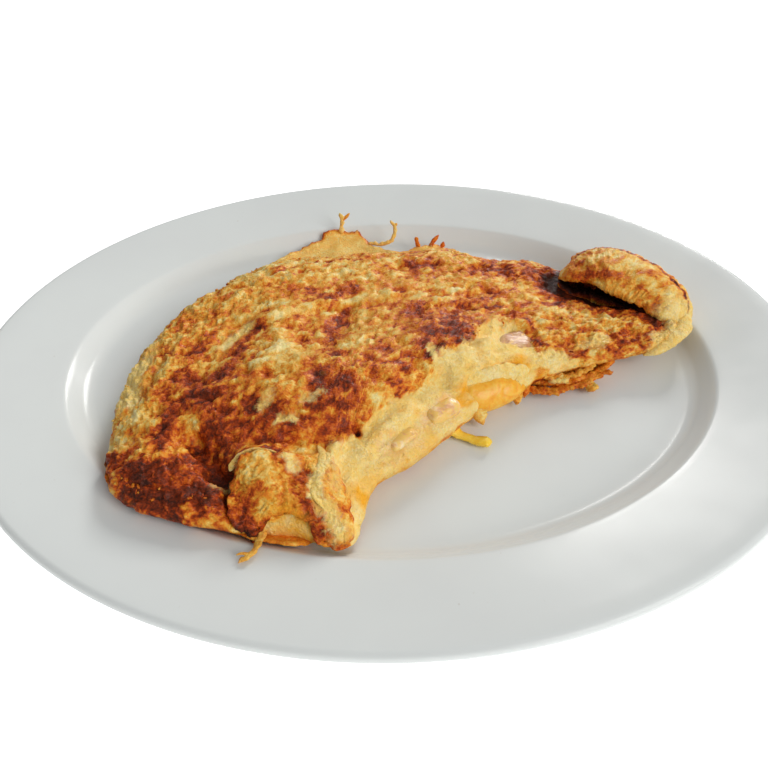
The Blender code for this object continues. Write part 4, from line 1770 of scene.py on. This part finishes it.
@dataclass
class Cheese:
    """Melted cheese between the layers, coming out at the tear, with a tongue on the plate."""

    finish: Material
    tongue_finish: Material
    columns: int = 181
    rows: int = 61
    widest: float = 8.0
    roll: float = 8.0
    sunk_behind: float = 3.5
    run_rise: float = 0.6  # how far its runs stand out, mm
    film_slope: float = 0.45  # the film's lower edge rises by this for each mm along X
    film_start: float = 40.0
    film_ends: Row = (-28.5, -23.0)
    fineness: int = 3
    # (x, y), mm
    sides: dict[str, list[Row]] = field(
        default_factory=lambda: {
            "front": [(-66, -60), (-40, -68), (-16, -58), (8, -42), (22, -35), (30, -36.5), (40, -33.5)],
            "right": [(49, -27), (54, -18), (62, 0)],
            "back": [(50, 24), (20, 42), (-14, 46), (-44, 36)],
            "left": [(-66, 10), (-80, -20), (-80, -44)],
        }
    )
    # (x, height over the plate's floor), mm
    tops: tuple[Row, ...] = ((-80, 13), (0, 15), (30, 16), (44, 15), (62, 9))
    bottoms: tuple[Row, ...] = ((-80, 5), (10, 5), (28, 1.5), (46, 1.5), (62, 5))
    # (x, y, z, half width), mm
    drip: tuple[Row, ...] = (
        (18, -34, 16, 6), (21, -39, 11.5, 4.2), (24.5, -42.5, 9.6, 2.6), (28, -44.5, 9.4, 2.3),
        (32, -46, 9.6, 3.0), (35.5, -46.5, 9.6, 3.2),
    )
    tongue_steps: int = 60
    tongue_sides: int = 28
    tongue_flat: float = 0.55

    def build(self) -> list[Object]:
        """Builds and dresses the mass and its tongue."""
        return [self.mass(), self.tongue()]

    def mass(self) -> Object:
        """The cheese between the layers.

        Returns:
            The piece.
        """
        patch = Patch(self.sides, self.columns, self.rows)
        distance, _ = patch.edge()
        plan = patch.grid
        middle = PLATE.floor_height + self.widest
        rise = rolled(distance, self.roll)
        tops = PLATE.floor_height + np.interp(plan[..., 0], *np.array(self.tops, float).T)
        tops -= self.sunk_behind * smooth_step(plan[..., 1], -18.0, -6.0)
        lows = PLATE.floor_height + np.interp(plan[..., 0], *np.array(self.bottoms, float).T)
        smooth = np.dstack([plan[..., :2], middle + (tops - middle) * rise])
        runs = GRAIN.layered(GRAIN.stirred(smooth, 6, 1.6), (4.5, 12, 14), 2)
        out = self.run_rise * runs * smooth_step(smooth[..., 0], 6, 14)
        upper = smooth + normals(smooth) * out[..., None]
        lower = np.dstack([plan[..., :2], middle + (lows - middle) * rise])
        slab = Slab(upper, lower[:: self.fineness, :: self.fineness], self.fineness)
        points = slab.points()
        level = points[:, 1] - self.film_slope * (points[:, 0] - self.film_start)
        filmed = smooth_step(level, *self.film_ends)
        piece = new_piece("melted_cheese_mass", points, slab.faces(), {Look.CREAMY: filmed})
        piece.data.materials.append(self.finish)
        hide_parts("cheese_filling")
        return piece

    def tongue(self) -> Object:
        """The cheese that ran out on the plate.

        Returns:
            The piece.
        """
        share = np.linspace(0, 1, self.tongue_steps)
        path = resampled(curve(list(self.drip)), share)
        half = path[:, 3] * np.sqrt(np.clip((1 - share) / 0.08, 0.02, 1))
        points, faces = loft(tube(path[:, :3], half, self.tongue_sides, self.tongue_flat))
        points = points + 0.35 * GRAIN.layered(points, 4, 3)[:, None] * np.array([0.8, 0.8, 0.5])
        points[:, 2] = np.maximum(points[:, 2], PLATE.floor_height + 0.15)
        piece = new_piece("cheese_tongue", points, faces, {Look.CREAMY: np.zeros(len(points))})
        piece.data.materials.append(self.tongue_finish)
        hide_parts("cheese_filling")
        return piece


@dataclass
class HamPiece:
    """One diced piece of ham, soft-edged and a little twisted."""

    name: str
    node: str
    finish: HamFinish
    size: Row  # length, width and height, mm
    turn: float  # degrees
    seed: float
    steps: int = 22
    squareness: float = 3.5
    unevenness: float = 0.10
    shrink: float = 0.94
    sunk: float = 1.1

    def cube(self) -> tuple[Array, Faces]:
        """A cube from -1 to 1, with each side cut in small squares.

        Returns:
            Its points and faces.
        """
        cube = []
        faces: Faces = []
        n = self.steps
        share = np.linspace(-1, 1, n)
        for axis, sign in itertools.product(range(3), (-1, 1)):
            start = len(cube)
            for a, b in itertools.product(share, share):
                point = [0.0, 0.0, 0.0]
                point[axis], point[(axis + 1) % 3], point[(axis + 2) % 3] = sign, a, b
                cube.append(point)
            for i, j in itertools.product(range(n - 1), range(n - 1)):
                k = start + i * n + j
                corners = (k, k + n, k + n + 1, k + 1)
                faces.append(corners if sign > 0 else corners[::-1])
        points, index = np.unique(np.round(np.array(cube), 6), axis=0, return_inverse=True)
        index = index.ravel()
        return points, [tuple(int(index[k]) for k in face) for face in faces]

    def build(self) -> Object:
        """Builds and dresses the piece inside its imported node's box.

        Returns:
            The piece.
        """
        low, high = (np.array(corner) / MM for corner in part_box(self.node))
        points, faces = self.cube()
        norm = (np.abs(points) ** self.squareness).sum(1) ** (1 / self.squareness)
        points = points / norm[:, None] * np.abs(points).max(1)[:, None]
        points = points * np.array(self.size) / 2 * self.shrink
        bumps = GRAIN.layered(points + self.seed, 6, 3)
        points = points * (1 + self.unevenness * bumps[:, None])
        cos, sin = math.cos(math.radians(self.turn)), math.sin(math.radians(self.turn))
        points = points @ np.array([[cos, sin, 0], [-sin, cos, 0], [0, 0, 1]])
        middle = (low + high) / 2 - np.array([0, 0, self.sunk])
        piece = new_piece(self.name, points + middle, faces, {})
        piece.data.materials.append(self.finish.material())
        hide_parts(self.node)
        return piece


COVERED_HAM = HamFinish(covered=0.72)
BARE_HAM = HamFinish("bare_ham", (206, 150, 100), (188, 126, 80), (222, 176, 124), covered=0.42)
HAM_PIECES = (
    HamPiece("diced_ham_1", "ham_1", COVERED_HAM, (16, 9, 9), turn=42, seed=40.0),
    HamPiece("diced_ham_2", "ham_2", COVERED_HAM, (15, 8, 8), turn=36, seed=80.0),
    HamPiece("diced_ham_3", "ham_3", BARE_HAM, (14, 12, 5), turn=12, seed=120.0),
)


# ---- loose bits of egg


@dataclass
class SkinFlap:
    """A loose flap of golden, netted skin over the front of the fold, arched at its free edge."""

    body: Body
    columns: int = 133
    rows: int = 85
    fineness: int = 3
    thickness: float = 1.5
    net_rise: float = 0.34
    lump_rise: float = 0.6
    calm_edge: float = 2.5
    browned: float = 0.41
    browned_blotch: float = 0.24
    browned_net: float = -0.08
    browned_rim: float = 0.10
    # (x, y, rise over the folded layer, least height over the table), mm
    sides: dict[str, list[Row]] = field(
        default_factory=lambda: {
            "front": [
                (-50.5, -86, 1.2, 13.4), (-46.3, -88.6, 1.0, 14.0), (-42.8, -89.6, 1.0, 14.8),
                (-41.5, -87.6, 1.2, 15.8), (-38.6, -86, 1.6, 17.2), (-34, -84.8, 1.8, 18.0),
                (-30.4, -85, 1.8, 18.0), (-27.6, -87, 1.4, 17.0), (-25, -89.5, 1.0, 16.0),
                (-21, -92.5, 0.8, 14.6),
            ],
            "right": [(-15, -92.5, 0.8, 14.4), (-12.8, -86, 0.6, 12), (-15, -77, 0.5, 0), (-18, -69, 0.4, 0)],
            "back": [
                (-22, -64.5, 0.5, 0), (-30, -67, 1.0, 0), (-37, -68.5, 1.5, 0), (-43.5, -68, 1.9, 0),
                (-48.5, -70, 2.4, 0),
            ],
            "left": [(-51, -75, 2.2, 0), (-51, -81, 1.6, 8)],
        }
    )
    marks: tuple[Mark, ...] = (
        brown(0.42, 3.4, (-51, -86), (-46, -88), (-42, -88)),
        brown(0.24, 2.6, (-46, -83), (-42, -79)),
        brown(0.30, 2.6, (-22, -88), (-26, -84), (-29, -80)),
        brown(0.26, 3.0, (-36, -70), (-30, -72), (-27, -76)),
        brown(0.20, 1.8, (-50, -72), (-50, -79)),
        brown(-0.16, 5.0, (-42, -77), (-40, -71)),
        cream(0.85, 2.6, (-31, -72), (-33, -69)),
        cream(1.0, 2.2, (-22.5, -64), (-22, -68), (-24, -75), (-24.5, -80)),
        cream(0.5, 3.0, (-18, -68), (-18, -76)),
        cream(0.80, 3.6, (-21, -84), (-17, -89)),
        Mark(Look.CHEESY, ((-38, -84), (-33, -84), (-29, -87)), 2.4, 0.5),
    )

    def build(self) -> Object:
        """Builds and dresses the flap.

        Returns:
            The piece.
        """
        patch = Patch(self.sides, self.columns, self.rows, ragged=0.8, ragged_size=3.2)
        distance, _ = patch.edge()
        plan = patch.grid
        level = np.maximum(self.body.top_at(plan) + plan[..., 2], plan[..., 3])
        smooth = np.dstack([plan[..., :2], level])
        square = normals(smooth)
        half = self.thickness / 2 * rolled(distance, self.thickness)
        net = GRAIN.ridged(GRAIN.stirred(smooth, 3.0, 1.4), (3.6, 2.6, 2.6))
        lumps = GRAIN.layered(GRAIN.stirred(smooth, 8, 2.0), 9, 2)
        out = self.net_rise * net + self.lump_rise * lumps
        middle = smooth + square * (out * smooth_step(distance, 0, self.calm_edge))[..., None]
        upper = middle + square * half[..., None]
        lower = middle - square * half[..., None]
        slab = Slab(upper, lower[:: self.fineness, :: self.fineness], self.fineness)
        points = slab.points()
        looks = marked(self.marks, GRAIN.stirred(points, 3.0, 1.2))
        blotch = GRAIN.layered(GRAIN.stirred(points, 4, 1.8), (7, 5, 5), 3, 0.6)
        rim, netted = padded(smooth_step(distance, 1.6, 0.2), len(points)), padded(net, len(points))
        skin = self.browned + self.browned_blotch * blotch
        looks[Look.BROWNING_AND_SHADE] += skin + self.browned_net * netted + self.browned_rim * rim
        piece = new_piece("skin_flap", points, slab.faces(), looks)
        piece.data.materials.append(self.body.finish)
        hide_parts("egg")
        return piece


@dataclass
class Bundle:
    """Small bits of egg gathered into one mesh."""

    points: list[Array] = field(default_factory=list)
    faces: Faces = field(default_factory=list)
    browned: list[Array] = field(default_factory=list)
    creamy: list[Array] = field(default_factory=list)

    def add(self, points: Array, faces: Faces, browned: Array, creamy: Array) -> None:
        """Adds one bit.

        Args:
            points: Its places, mm.
            faces: Its faces, counted from its own first place.
            browned: How browned each place is.
            creamy: How creamy each place is.
        """
        start = sum(map(len, self.points))
        self.points.append(points)
        self.faces += [tuple(start + k for k in face) for face in faces]
        self.browned.append(browned)
        self.creamy.append(creamy)

    def piece(self, name: str) -> Object:
        """Makes the mesh.

        Args:
            name: What it is called.

        Returns:
            The piece, not yet dressed.
        """
        points = np.vstack(self.points)
        looks = marked((), points)
        looks[Look.BROWNING_AND_SHADE] = np.concatenate(self.browned)
        looks[Look.CREAMY] = np.concatenate(self.creamy)
        return new_piece(name, points, self.faces, looks)


@dataclass(frozen=True)
class Strand:
    """A thread or ribbon of egg along a smooth path of (x, y, z, half width)."""

    rows: tuple[Row, ...]
    browned: float = 0.30
    creamy: float = 0.2
    flat: float = 0.7
    face: Row = UPWARD
    rough: float = 0.25
    spacing: float = 0.5
    sides: int = 12
    resting: bool = False  # its heights count from the folded layer's top

    def mesh(self, body: Body) -> tuple[Array, Faces]:
        """Points and faces of the strand, with rounded ends.

        Args:
            body: The folded layer that it may rest on.

        Returns:
            Its points and faces.
        """
        fine = curve(list(self.rows))
        length = np.linalg.norm(np.diff(fine[:, :3], axis=0), axis=1).sum()
        count = max(10, int(length / self.spacing))
        share = np.linspace(0, 1, count)
        path = resampled(fine, share, 3)
        if self.resting:
            path[:, 2] += body.top_at(path[:, :2])
        ends = np.minimum(share, 1 - share) * length / path[:, 3].max()
        half = path[:, 3] * np.sqrt(np.clip(ends, 0.03, 1))
        points, faces = loft(tube(path[:, :3], half, self.sides, self.flat, self.face))
        middle = np.repeat(path[:, :3], self.sides, 0)
        outward = points - middle
        grain = GRAIN.layered(points, 2.2, 3)[:, None]
        return points + outward * 1.6 * self.rough * grain + 0.4 * self.rough * grain, faces


@dataclass
class Strands:
    """Strands of one kind, joined in one mesh."""

    name: str
    body: Body
    strands: tuple[Strand, ...]

    def build(self) -> Object:
        """Builds and dresses the strands.

        Returns:
            The piece.
        """
        bundle = Bundle()
        for strand in self.strands:
            points, faces = strand.mesh(self.body)
            grain = GRAIN.layered(points, 3.0, 3)
            bundle.add(points, faces, strand.browned + 0.14 * grain, strand.creamy + 0.2 * grain)
        piece = bundle.piece(self.name)
        piece.data.materials.append(self.body.finish)
        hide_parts("egg")
        return piece


THREADS = (
    # standing at the back corner
    Strand(
        ((-22, 90, 15, 1.9), (-22, 91.5, 18, 1.3), (-21.5, 92, 21, 1.1), (-22.5, 93, 25.0, 1.3)),
        browned=0.24, creamy=0.5, face=UPRIGHT, rough=0.4,
    ),
    Strand(
        ((-21.4, 92, 21, 0.7), (-19.2, 92.4, 23.4, 0.7), (-17.6, 92.6, 25, 0.4)),
        browned=0.4, face=UPRIGHT,
    ),
    # beside it, bent over like a hook
    Strand(
        (
            (-9, 85, 12.5, 0.8), (-3, 83, 12.8, 0.9), (1.5, 82, 14.5, 1.0), (4, 83, 18, 0.9),
            (4, 85, 21.5, 0.9), (2, 86, 24, 0.7),
        ),
        browned=0.26, creamy=0.5, face=UPRIGHT, rough=0.4,
    ),
    Strand(((3.8, 85, 21, 0.8), (5.4, 85.4, 23, 0.7)), face=UPRIGHT),
    # short stubs on the back edge
    Strand(((16, 80, 12, 1.4), (15, 81, 15, 1.0), (14.4, 81.4, 17.4, 1.2)), browned=0.5, face=UPRIGHT),
    Strand(((21, 80, 12, 1.6), (23, 81, 15, 1.1), (25.6, 82, 18, 0.8)), browned=0.55, face=UPRIGHT),
    Strand(((27, 80, 12, 1.6), (28, 80.6, 15, 1.0)), browned=0.55, face=UPRIGHT),
)
FRONT_STRANDS = (
    # hanging from the front edge on the plate
    Strand(
        (
            (-40.6, -85, 15.4, 2.0), (-41.4, -89.5, 15.6, 1.4), (-42.0, -93.6, 17.0, 1.0),
            (-42.8, -96, 17.8, 1.0), (-44.8, -98, 18.2, 1.3), (-46.2, -99.6, 18.4, 0.8),
        ),
        browned=0.34, creamy=0.3, flat=0.5, rough=0.3,
    ),
    Strand(
        ((-43.2, -96.6, 18.0, 0.9), (-45.6, -96.4, 18.6, 0.7), (-47.2, -97.2, 18.8, 0.4)),
        browned=0.34, flat=0.5,
    ),
)
TORN_LIPS = (
    # the thin pale lip that stands over the gap behind the flap
    Strand(
        (
            (-51.8, -71, 25.6, 0.8), (-50.2, -69, 28.0, 1.1), (-46.5, -67.4, 30.4, 1.3),
            (-42.5, -67.2, 31.6, 1.3), (-36.5, -68.2, 31.2, 0.8),
        ),
        browned=0.08, creamy=0.85, flat=0.22, face=UPRIGHT, rough=0.15,
    ),
    # a ridge of white film down the right-hand side of the flap
    Strand(
        (
            (-24.4, -61.5, 0.6, 0.8), (-22.6, -65, 0.9, 1.5), (-22.6, -70, 1.0, 1.7),
            (-24.0, -75.5, 1.0, 1.5), (-24.4, -80.5, 1.2, 1.3), (-21.0, -84.5, 1.2, 1.4),
        ),
        browned=0.0, creamy=1.1, flat=0.34, rough=0.15, resting=True,
    ),
    # the lip round the right-hand tip
    Strand(
        (
            (115.5, 15, 24.0, 1.8), (118.6, 9, 22.0, 3.0), (117.0, 2.5, 20.6, 3.4),
            (111.5, -2.5, 19.6, 3.5), (105.5, -6.4, 18.0, 3.1), (99.0, -8.6, 16.4, 1.8),
        ),
        browned=0.14, creamy=0.85, flat=0.62, rough=0.08, sides=20,
    ),
)
FILM_DRIPS = (
    # white film that runs down over the melted cheese
    Strand(
        (
            (25, -31, 24.4, 1.8), (32, -28, 24.4, 3.0), (39, -25.4, 23.8, 3.2), (46, -23, 22.4, 3.0),
            (53, -20, 20, 1.8),
        ),
        browned=0.06, creamy=0.9, flat=0.30, face=FORWARD, rough=0.10, sides=20,
    ),
    Strand(
        ((46.4, -23, 22.2, 2.4), (47.6, -25.2, 20.4, 1.8), (48.2, -26.6, 18.4, 1.0)),
        browned=0.10, creamy=0.8, flat=0.34, face=FORWARD, rough=0.10, sides=20,
    ),
)
RIGHT_RIBBONS = (
    # the ragged, browned edge of the lower layer under the right-hand lobe
    Strand(
        (
            (52, -22, 12, 2.6), (60, -22.5, 11.4, 2.8), (68, -20.5, 11.6, 2.4), (76, -18.5, 12.6, 2.2),
            (83, -13, 14, 1.8),
        ),
        browned=0.50, creamy=0.0, flat=0.42, rough=0.5,
    ),
    Strand(
        ((56, -17, 15, 2.4), (64, -18, 14.4, 1.8), (72, -16, 14.6, 2.0), (80, -12, 15.6, 1.6)),
        browned=0.34, flat=0.4, rough=0.5,
    ),
    Strand(
        ((60, -19.6, 13.4, 1.8), (65, -18.6, 13.6, 2.4), (69, -17.4, 13.6, 1.6)),
        browned=0.16, creamy=0.5, rough=0.5,
    ),
    Strand(
        ((74, -19, 11.8, 2.0), (77.5, -20.4, 11.0, 2.4), (80, -19.4, 11.0, 1.4)),
        browned=0.32, creamy=0.0, rough=0.6,
    ),
    Strand(((81, -15, 14, 1.2), (84.4, -15.6, 13.6, 0.9), (86.6, -14.6, 13.8, 0.5)), browned=0.50, rough=0.6),
    # drops that hang under the melted cheese
    Strand(
        ((47, -23, 15.4, 2.8), (47.4, -26.4, 12.4, 2.4), (47.2, -28.2, 9.9, 1.6)),
        browned=0.36, creamy=0.1, flat=0.9, rough=0.3, sides=18,
    ),
    Strand(
        ((51.4, -20, 15, 2.0), (51, -23.4, 12.4, 1.6), (50.4, -25.4, 11, 1.0)),
        browned=0.46, creamy=0.0, rough=0.3,
    ),
    Strand(
        ((31, -33.6, 16, 3.0), (32.4, -36.8, 12.6, 2.4), (33.4, -38.4, 10.2, 1.6)),
        browned=0.24, creamy=0.2, flat=0.9, rough=0.3, sides=18,
    ),
)


@dataclass(frozen=True)
class CrumbRow:
    """Where crumbs and torn bits lie: along a line, some way to each side of it."""

    line: Line
    count: int
    spread: float
    smallest: float
    largest: float
    browned: float
    lift: float = 0.3


@dataclass
class Crumbs:
    """Small torn bits of skin, joined in one mesh and set on the omelette's surface."""

    body: Body
    rows: tuple[CrumbRow, ...] = (
        CrumbRow(((-87, -70), (-84, -74), (-79, -77)), 18, 0.9, 0.4, 1.0, browned=0.52, lift=0.0),
        CrumbRow(((-76, -79), (-62, -81), (-54, -82)), 12, 0.8, 0.3, 0.8, browned=0.55, lift=0.0),
        CrumbRow(((-24, -86), (-28, -82), (-34, -80)), 8, 0.8, 0.3, 0.8, browned=0.5),
        CrumbRow(((16, -26), (27, -17), (36, -4), (48, 0)), 12, 1.6, 0.3, 0.8, browned=0.40),
        CrumbRow(((-98, -40), (-97, -20), (-94, 0)), 14, 0.9, 0.4, 0.9, browned=0.20, lift=0.0),
        CrumbRow(((-78, 36), (-55, 57), (-30, 65)), 16, 0.9, 0.4, 0.9, browned=0.40, lift=0.0),
        CrumbRow(((60, -4), (74, 4), (90, 2)), 14, 5.0, 0.3, 0.8, browned=0.60),
    )
    seed: int = 7
    around: int = 8
    rings: int = 5

    def bit(self, draw: np.random.Generator, size: float) -> Array:
        """Rings of one uneven bit, turned any way.

        Args:
            draw: Where its chance comes from.
            size: Its half length, mm.

        Returns:
            Its points, ring by ring.
        """
        turns = np.linspace(0, math.tau, self.around, endpoint=False)
        heights = np.cos(np.linspace(0.25, math.pi - 0.25, self.rings))
        wide = np.sqrt(1 - heights**2)[:, None]
        ball = np.stack(
            [wide * np.cos(turns), wide * np.sin(turns), np.repeat(heights[:, None], self.around, 1)], -1
        )
        ball *= draw.uniform((0.5, 0.35, 0.7), (0.9, 0.7, 1.3))
        ball *= draw.uniform(0.75, 1.25, ball.shape[:2])[..., None]
        a, b = draw.uniform(0, math.tau), draw.uniform(-0.6, 0.6)
        turned = np.array([[math.cos(a), -math.sin(a), 0], [math.sin(a), math.cos(a), 0], [0, 0, 1]])
        tipped = np.array([[math.cos(b), 0, math.sin(b)], [0, 1, 0], [-math.sin(b), 0, math.cos(b)]])
        return size * ball @ (tipped @ np.array([[0, 0, 1], [0, 1, 0], [1, 0, 0]]) @ turned)

    def build(self) -> Object:
        """Builds and dresses the crumbs.

        Returns:
            The piece.
        """
        draw = np.random.default_rng(self.seed)
        bundle = Bundle()
        for row in self.rows:
            spots = resampled(curve(list(row.line)), np.sort(draw.uniform(0, 1, row.count)))
            spots = spots + draw.normal(0, row.spread, spots.shape)
            heights = np.maximum(self.body.top_at(spots), PLATE.surface(spots) + 1.0)
            for (x, y), z in zip(spots, heights):
                rings = self.bit(draw, draw.uniform(row.smallest, row.largest)) + (x, y, z + row.lift)
                points, faces = loft(list(rings))
                browned = np.full(len(points), row.browned + draw.normal(0, 0.14))
                bundle.add(points, faces, browned, np.zeros(len(points)))
        piece = bundle.piece("egg_crumbs")
        piece.data.materials.append(self.body.finish)
        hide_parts("egg")
        return piece


# ---- studio


@dataclass(frozen=True)
class SoftLight:
    """A square soft light, three metres off, that faces the plate."""

    name: str
    turn: float
    rise: float
    size: float
    power: float
    distance: float = 3.0
    tone: Tone = (255, 253, 250)

    def place(self) -> Vector:
        """Works out where it hangs: turn goes round from the front towards the right.

        Returns:
            The place, m.
        """
        turn, rise = math.radians(self.turn), math.radians(self.rise)
        flat = math.cos(rise)
        return self.distance * Vector((flat * math.sin(turn), -flat * math.cos(turn), math.sin(rise)))

    def build(self) -> Object:
        """Hangs the light.

        Returns:
            The light.
        """
        data = bpy.data.lights.new(self.name, "AREA")
        data.size, data.energy, data.color = self.size, self.power, linear(self.tone)[:3]
        light = bpy.data.objects.new(self.name, data)
        light.location = self.place()
        light.rotation_mode = "QUATERNION"
        light.rotation_quaternion = (-self.place()).to_track_quat("-Z", "Y")
        bpy.context.scene.collection.objects.link(light)
        return light


@dataclass
class Studio:
    """The pale floor, the soft lights and the camera."""

    elevation: float = 42.9
    roll: float = -1.2
    distance: float = 1.62
    lens: float = 32.0625
    aim: tuple[float, float] = (-0.016, -0.131)
    aim_height: float = 15.4
    world_strength: float = 0.31
    lights: tuple[SoftLight, ...] = (
        SoftLight("window_light", turn=158, rise=28, size=0.9, power=42),
        SoftLight("front_light", turn=50, rise=32, size=1.8, power=55),
    )

    def floor(self) -> Object:
        """A wide floor under the plate.

        Returns:
            The floor.
        """
        half = 3.0
        mesh = bpy.data.meshes.new("pale_floor")
        corners = [(-half, -half, 0.0), (half, -half, 0.0), (half, half, 0.0), (-half, half, 0.0)]
        mesh.from_pydata(corners, [], [(0, 1, 2, 3)])
        floor = bpy.data.objects.new("pale_floor", mesh)
        bpy.context.scene.collection.objects.link(floor)
        mesh.materials.append(FloorFinish().material())
        return floor

    def world(self) -> None:
        """Even white light from all round."""
        world = bpy.data.worlds.new("soft_studio")
        world.use_nodes = True
        background = world.node_tree.nodes["Background"]
        background.inputs["Color"].default_value = (1.0, 1.0, 1.0, 1.0)
        background.inputs["Strength"].default_value = self.world_strength
        bpy.context.scene.world = world

    def camera(self) -> Object:
        """The camera, looking down on the plate from the front.

        Returns:
            The camera.
        """
        rise, roll = math.radians(self.elevation), math.radians(self.roll)
        back = Vector((0, -math.cos(rise), math.sin(rise)))
        right = Vector((1, 0, 0))
        up = back.cross(right)
        turned = math.cos(roll) * right + math.sin(roll) * up
        upright = -math.sin(roll) * right + math.cos(roll) * up
        reach = PLATE.half_length * MM
        target = Vector((self.aim[0] * reach, self.aim[1] * reach, self.aim_height * MM))
        data = bpy.data.cameras.new("camera")
        data.sensor_width, data.lens, data.clip_start = 36.0, self.lens, 0.01
        camera = bpy.data.objects.new("camera", data)
        camera.matrix_world = Matrix.Translation(target + back * self.distance * reach) @ Matrix(
            (turned, upright, back)
        ).transposed().to_4x4()
        bpy.context.scene.collection.objects.link(camera)
        bpy.context.scene.camera = camera
        return camera

    def build(self) -> None:
        """Sets up the floor, the lights, the world and the camera."""
        self.floor()
        for light in self.lights:
            light.build()
        self.world()
        self.camera()
        view = bpy.context.scene.view_settings
        view.view_transform, view.look, view.exposure, view.gamma = "Standard", "None", 0.0, 1.0


def main() -> None:
    """Builds every piece in order."""
    logging.basicConfig(level=logging.INFO, format="%(name)s %(message)s")
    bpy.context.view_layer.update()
    Studio().build()
    report(Plate(PLATE).build())
    skin = EggFinish().material()
    body = Body(skin)
    report(body.build())
    report(LowerSheet(skin).build())
    report(RolledEdge(skin).build())
    report(SkinFlap(body).build())
    report(Strands("egg_threads", body, THREADS + FRONT_STRANDS).build())
    report(Strands("torn_lips", body, TORN_LIPS).build())
    report(Strands("white_film", body, FILM_DRIPS).build())
    report(Strands("ragged_ribbons", body, RIGHT_RIBBONS).build())
    report(Crumbs(body).build())
    for piece in Cheese(CheeseFinish().material(), RUNNY_CHEESE.material()).build():
        report(piece)
    for ham in HAM_PIECES:
        report(ham.build())


if __name__ == "__main__":
    main()
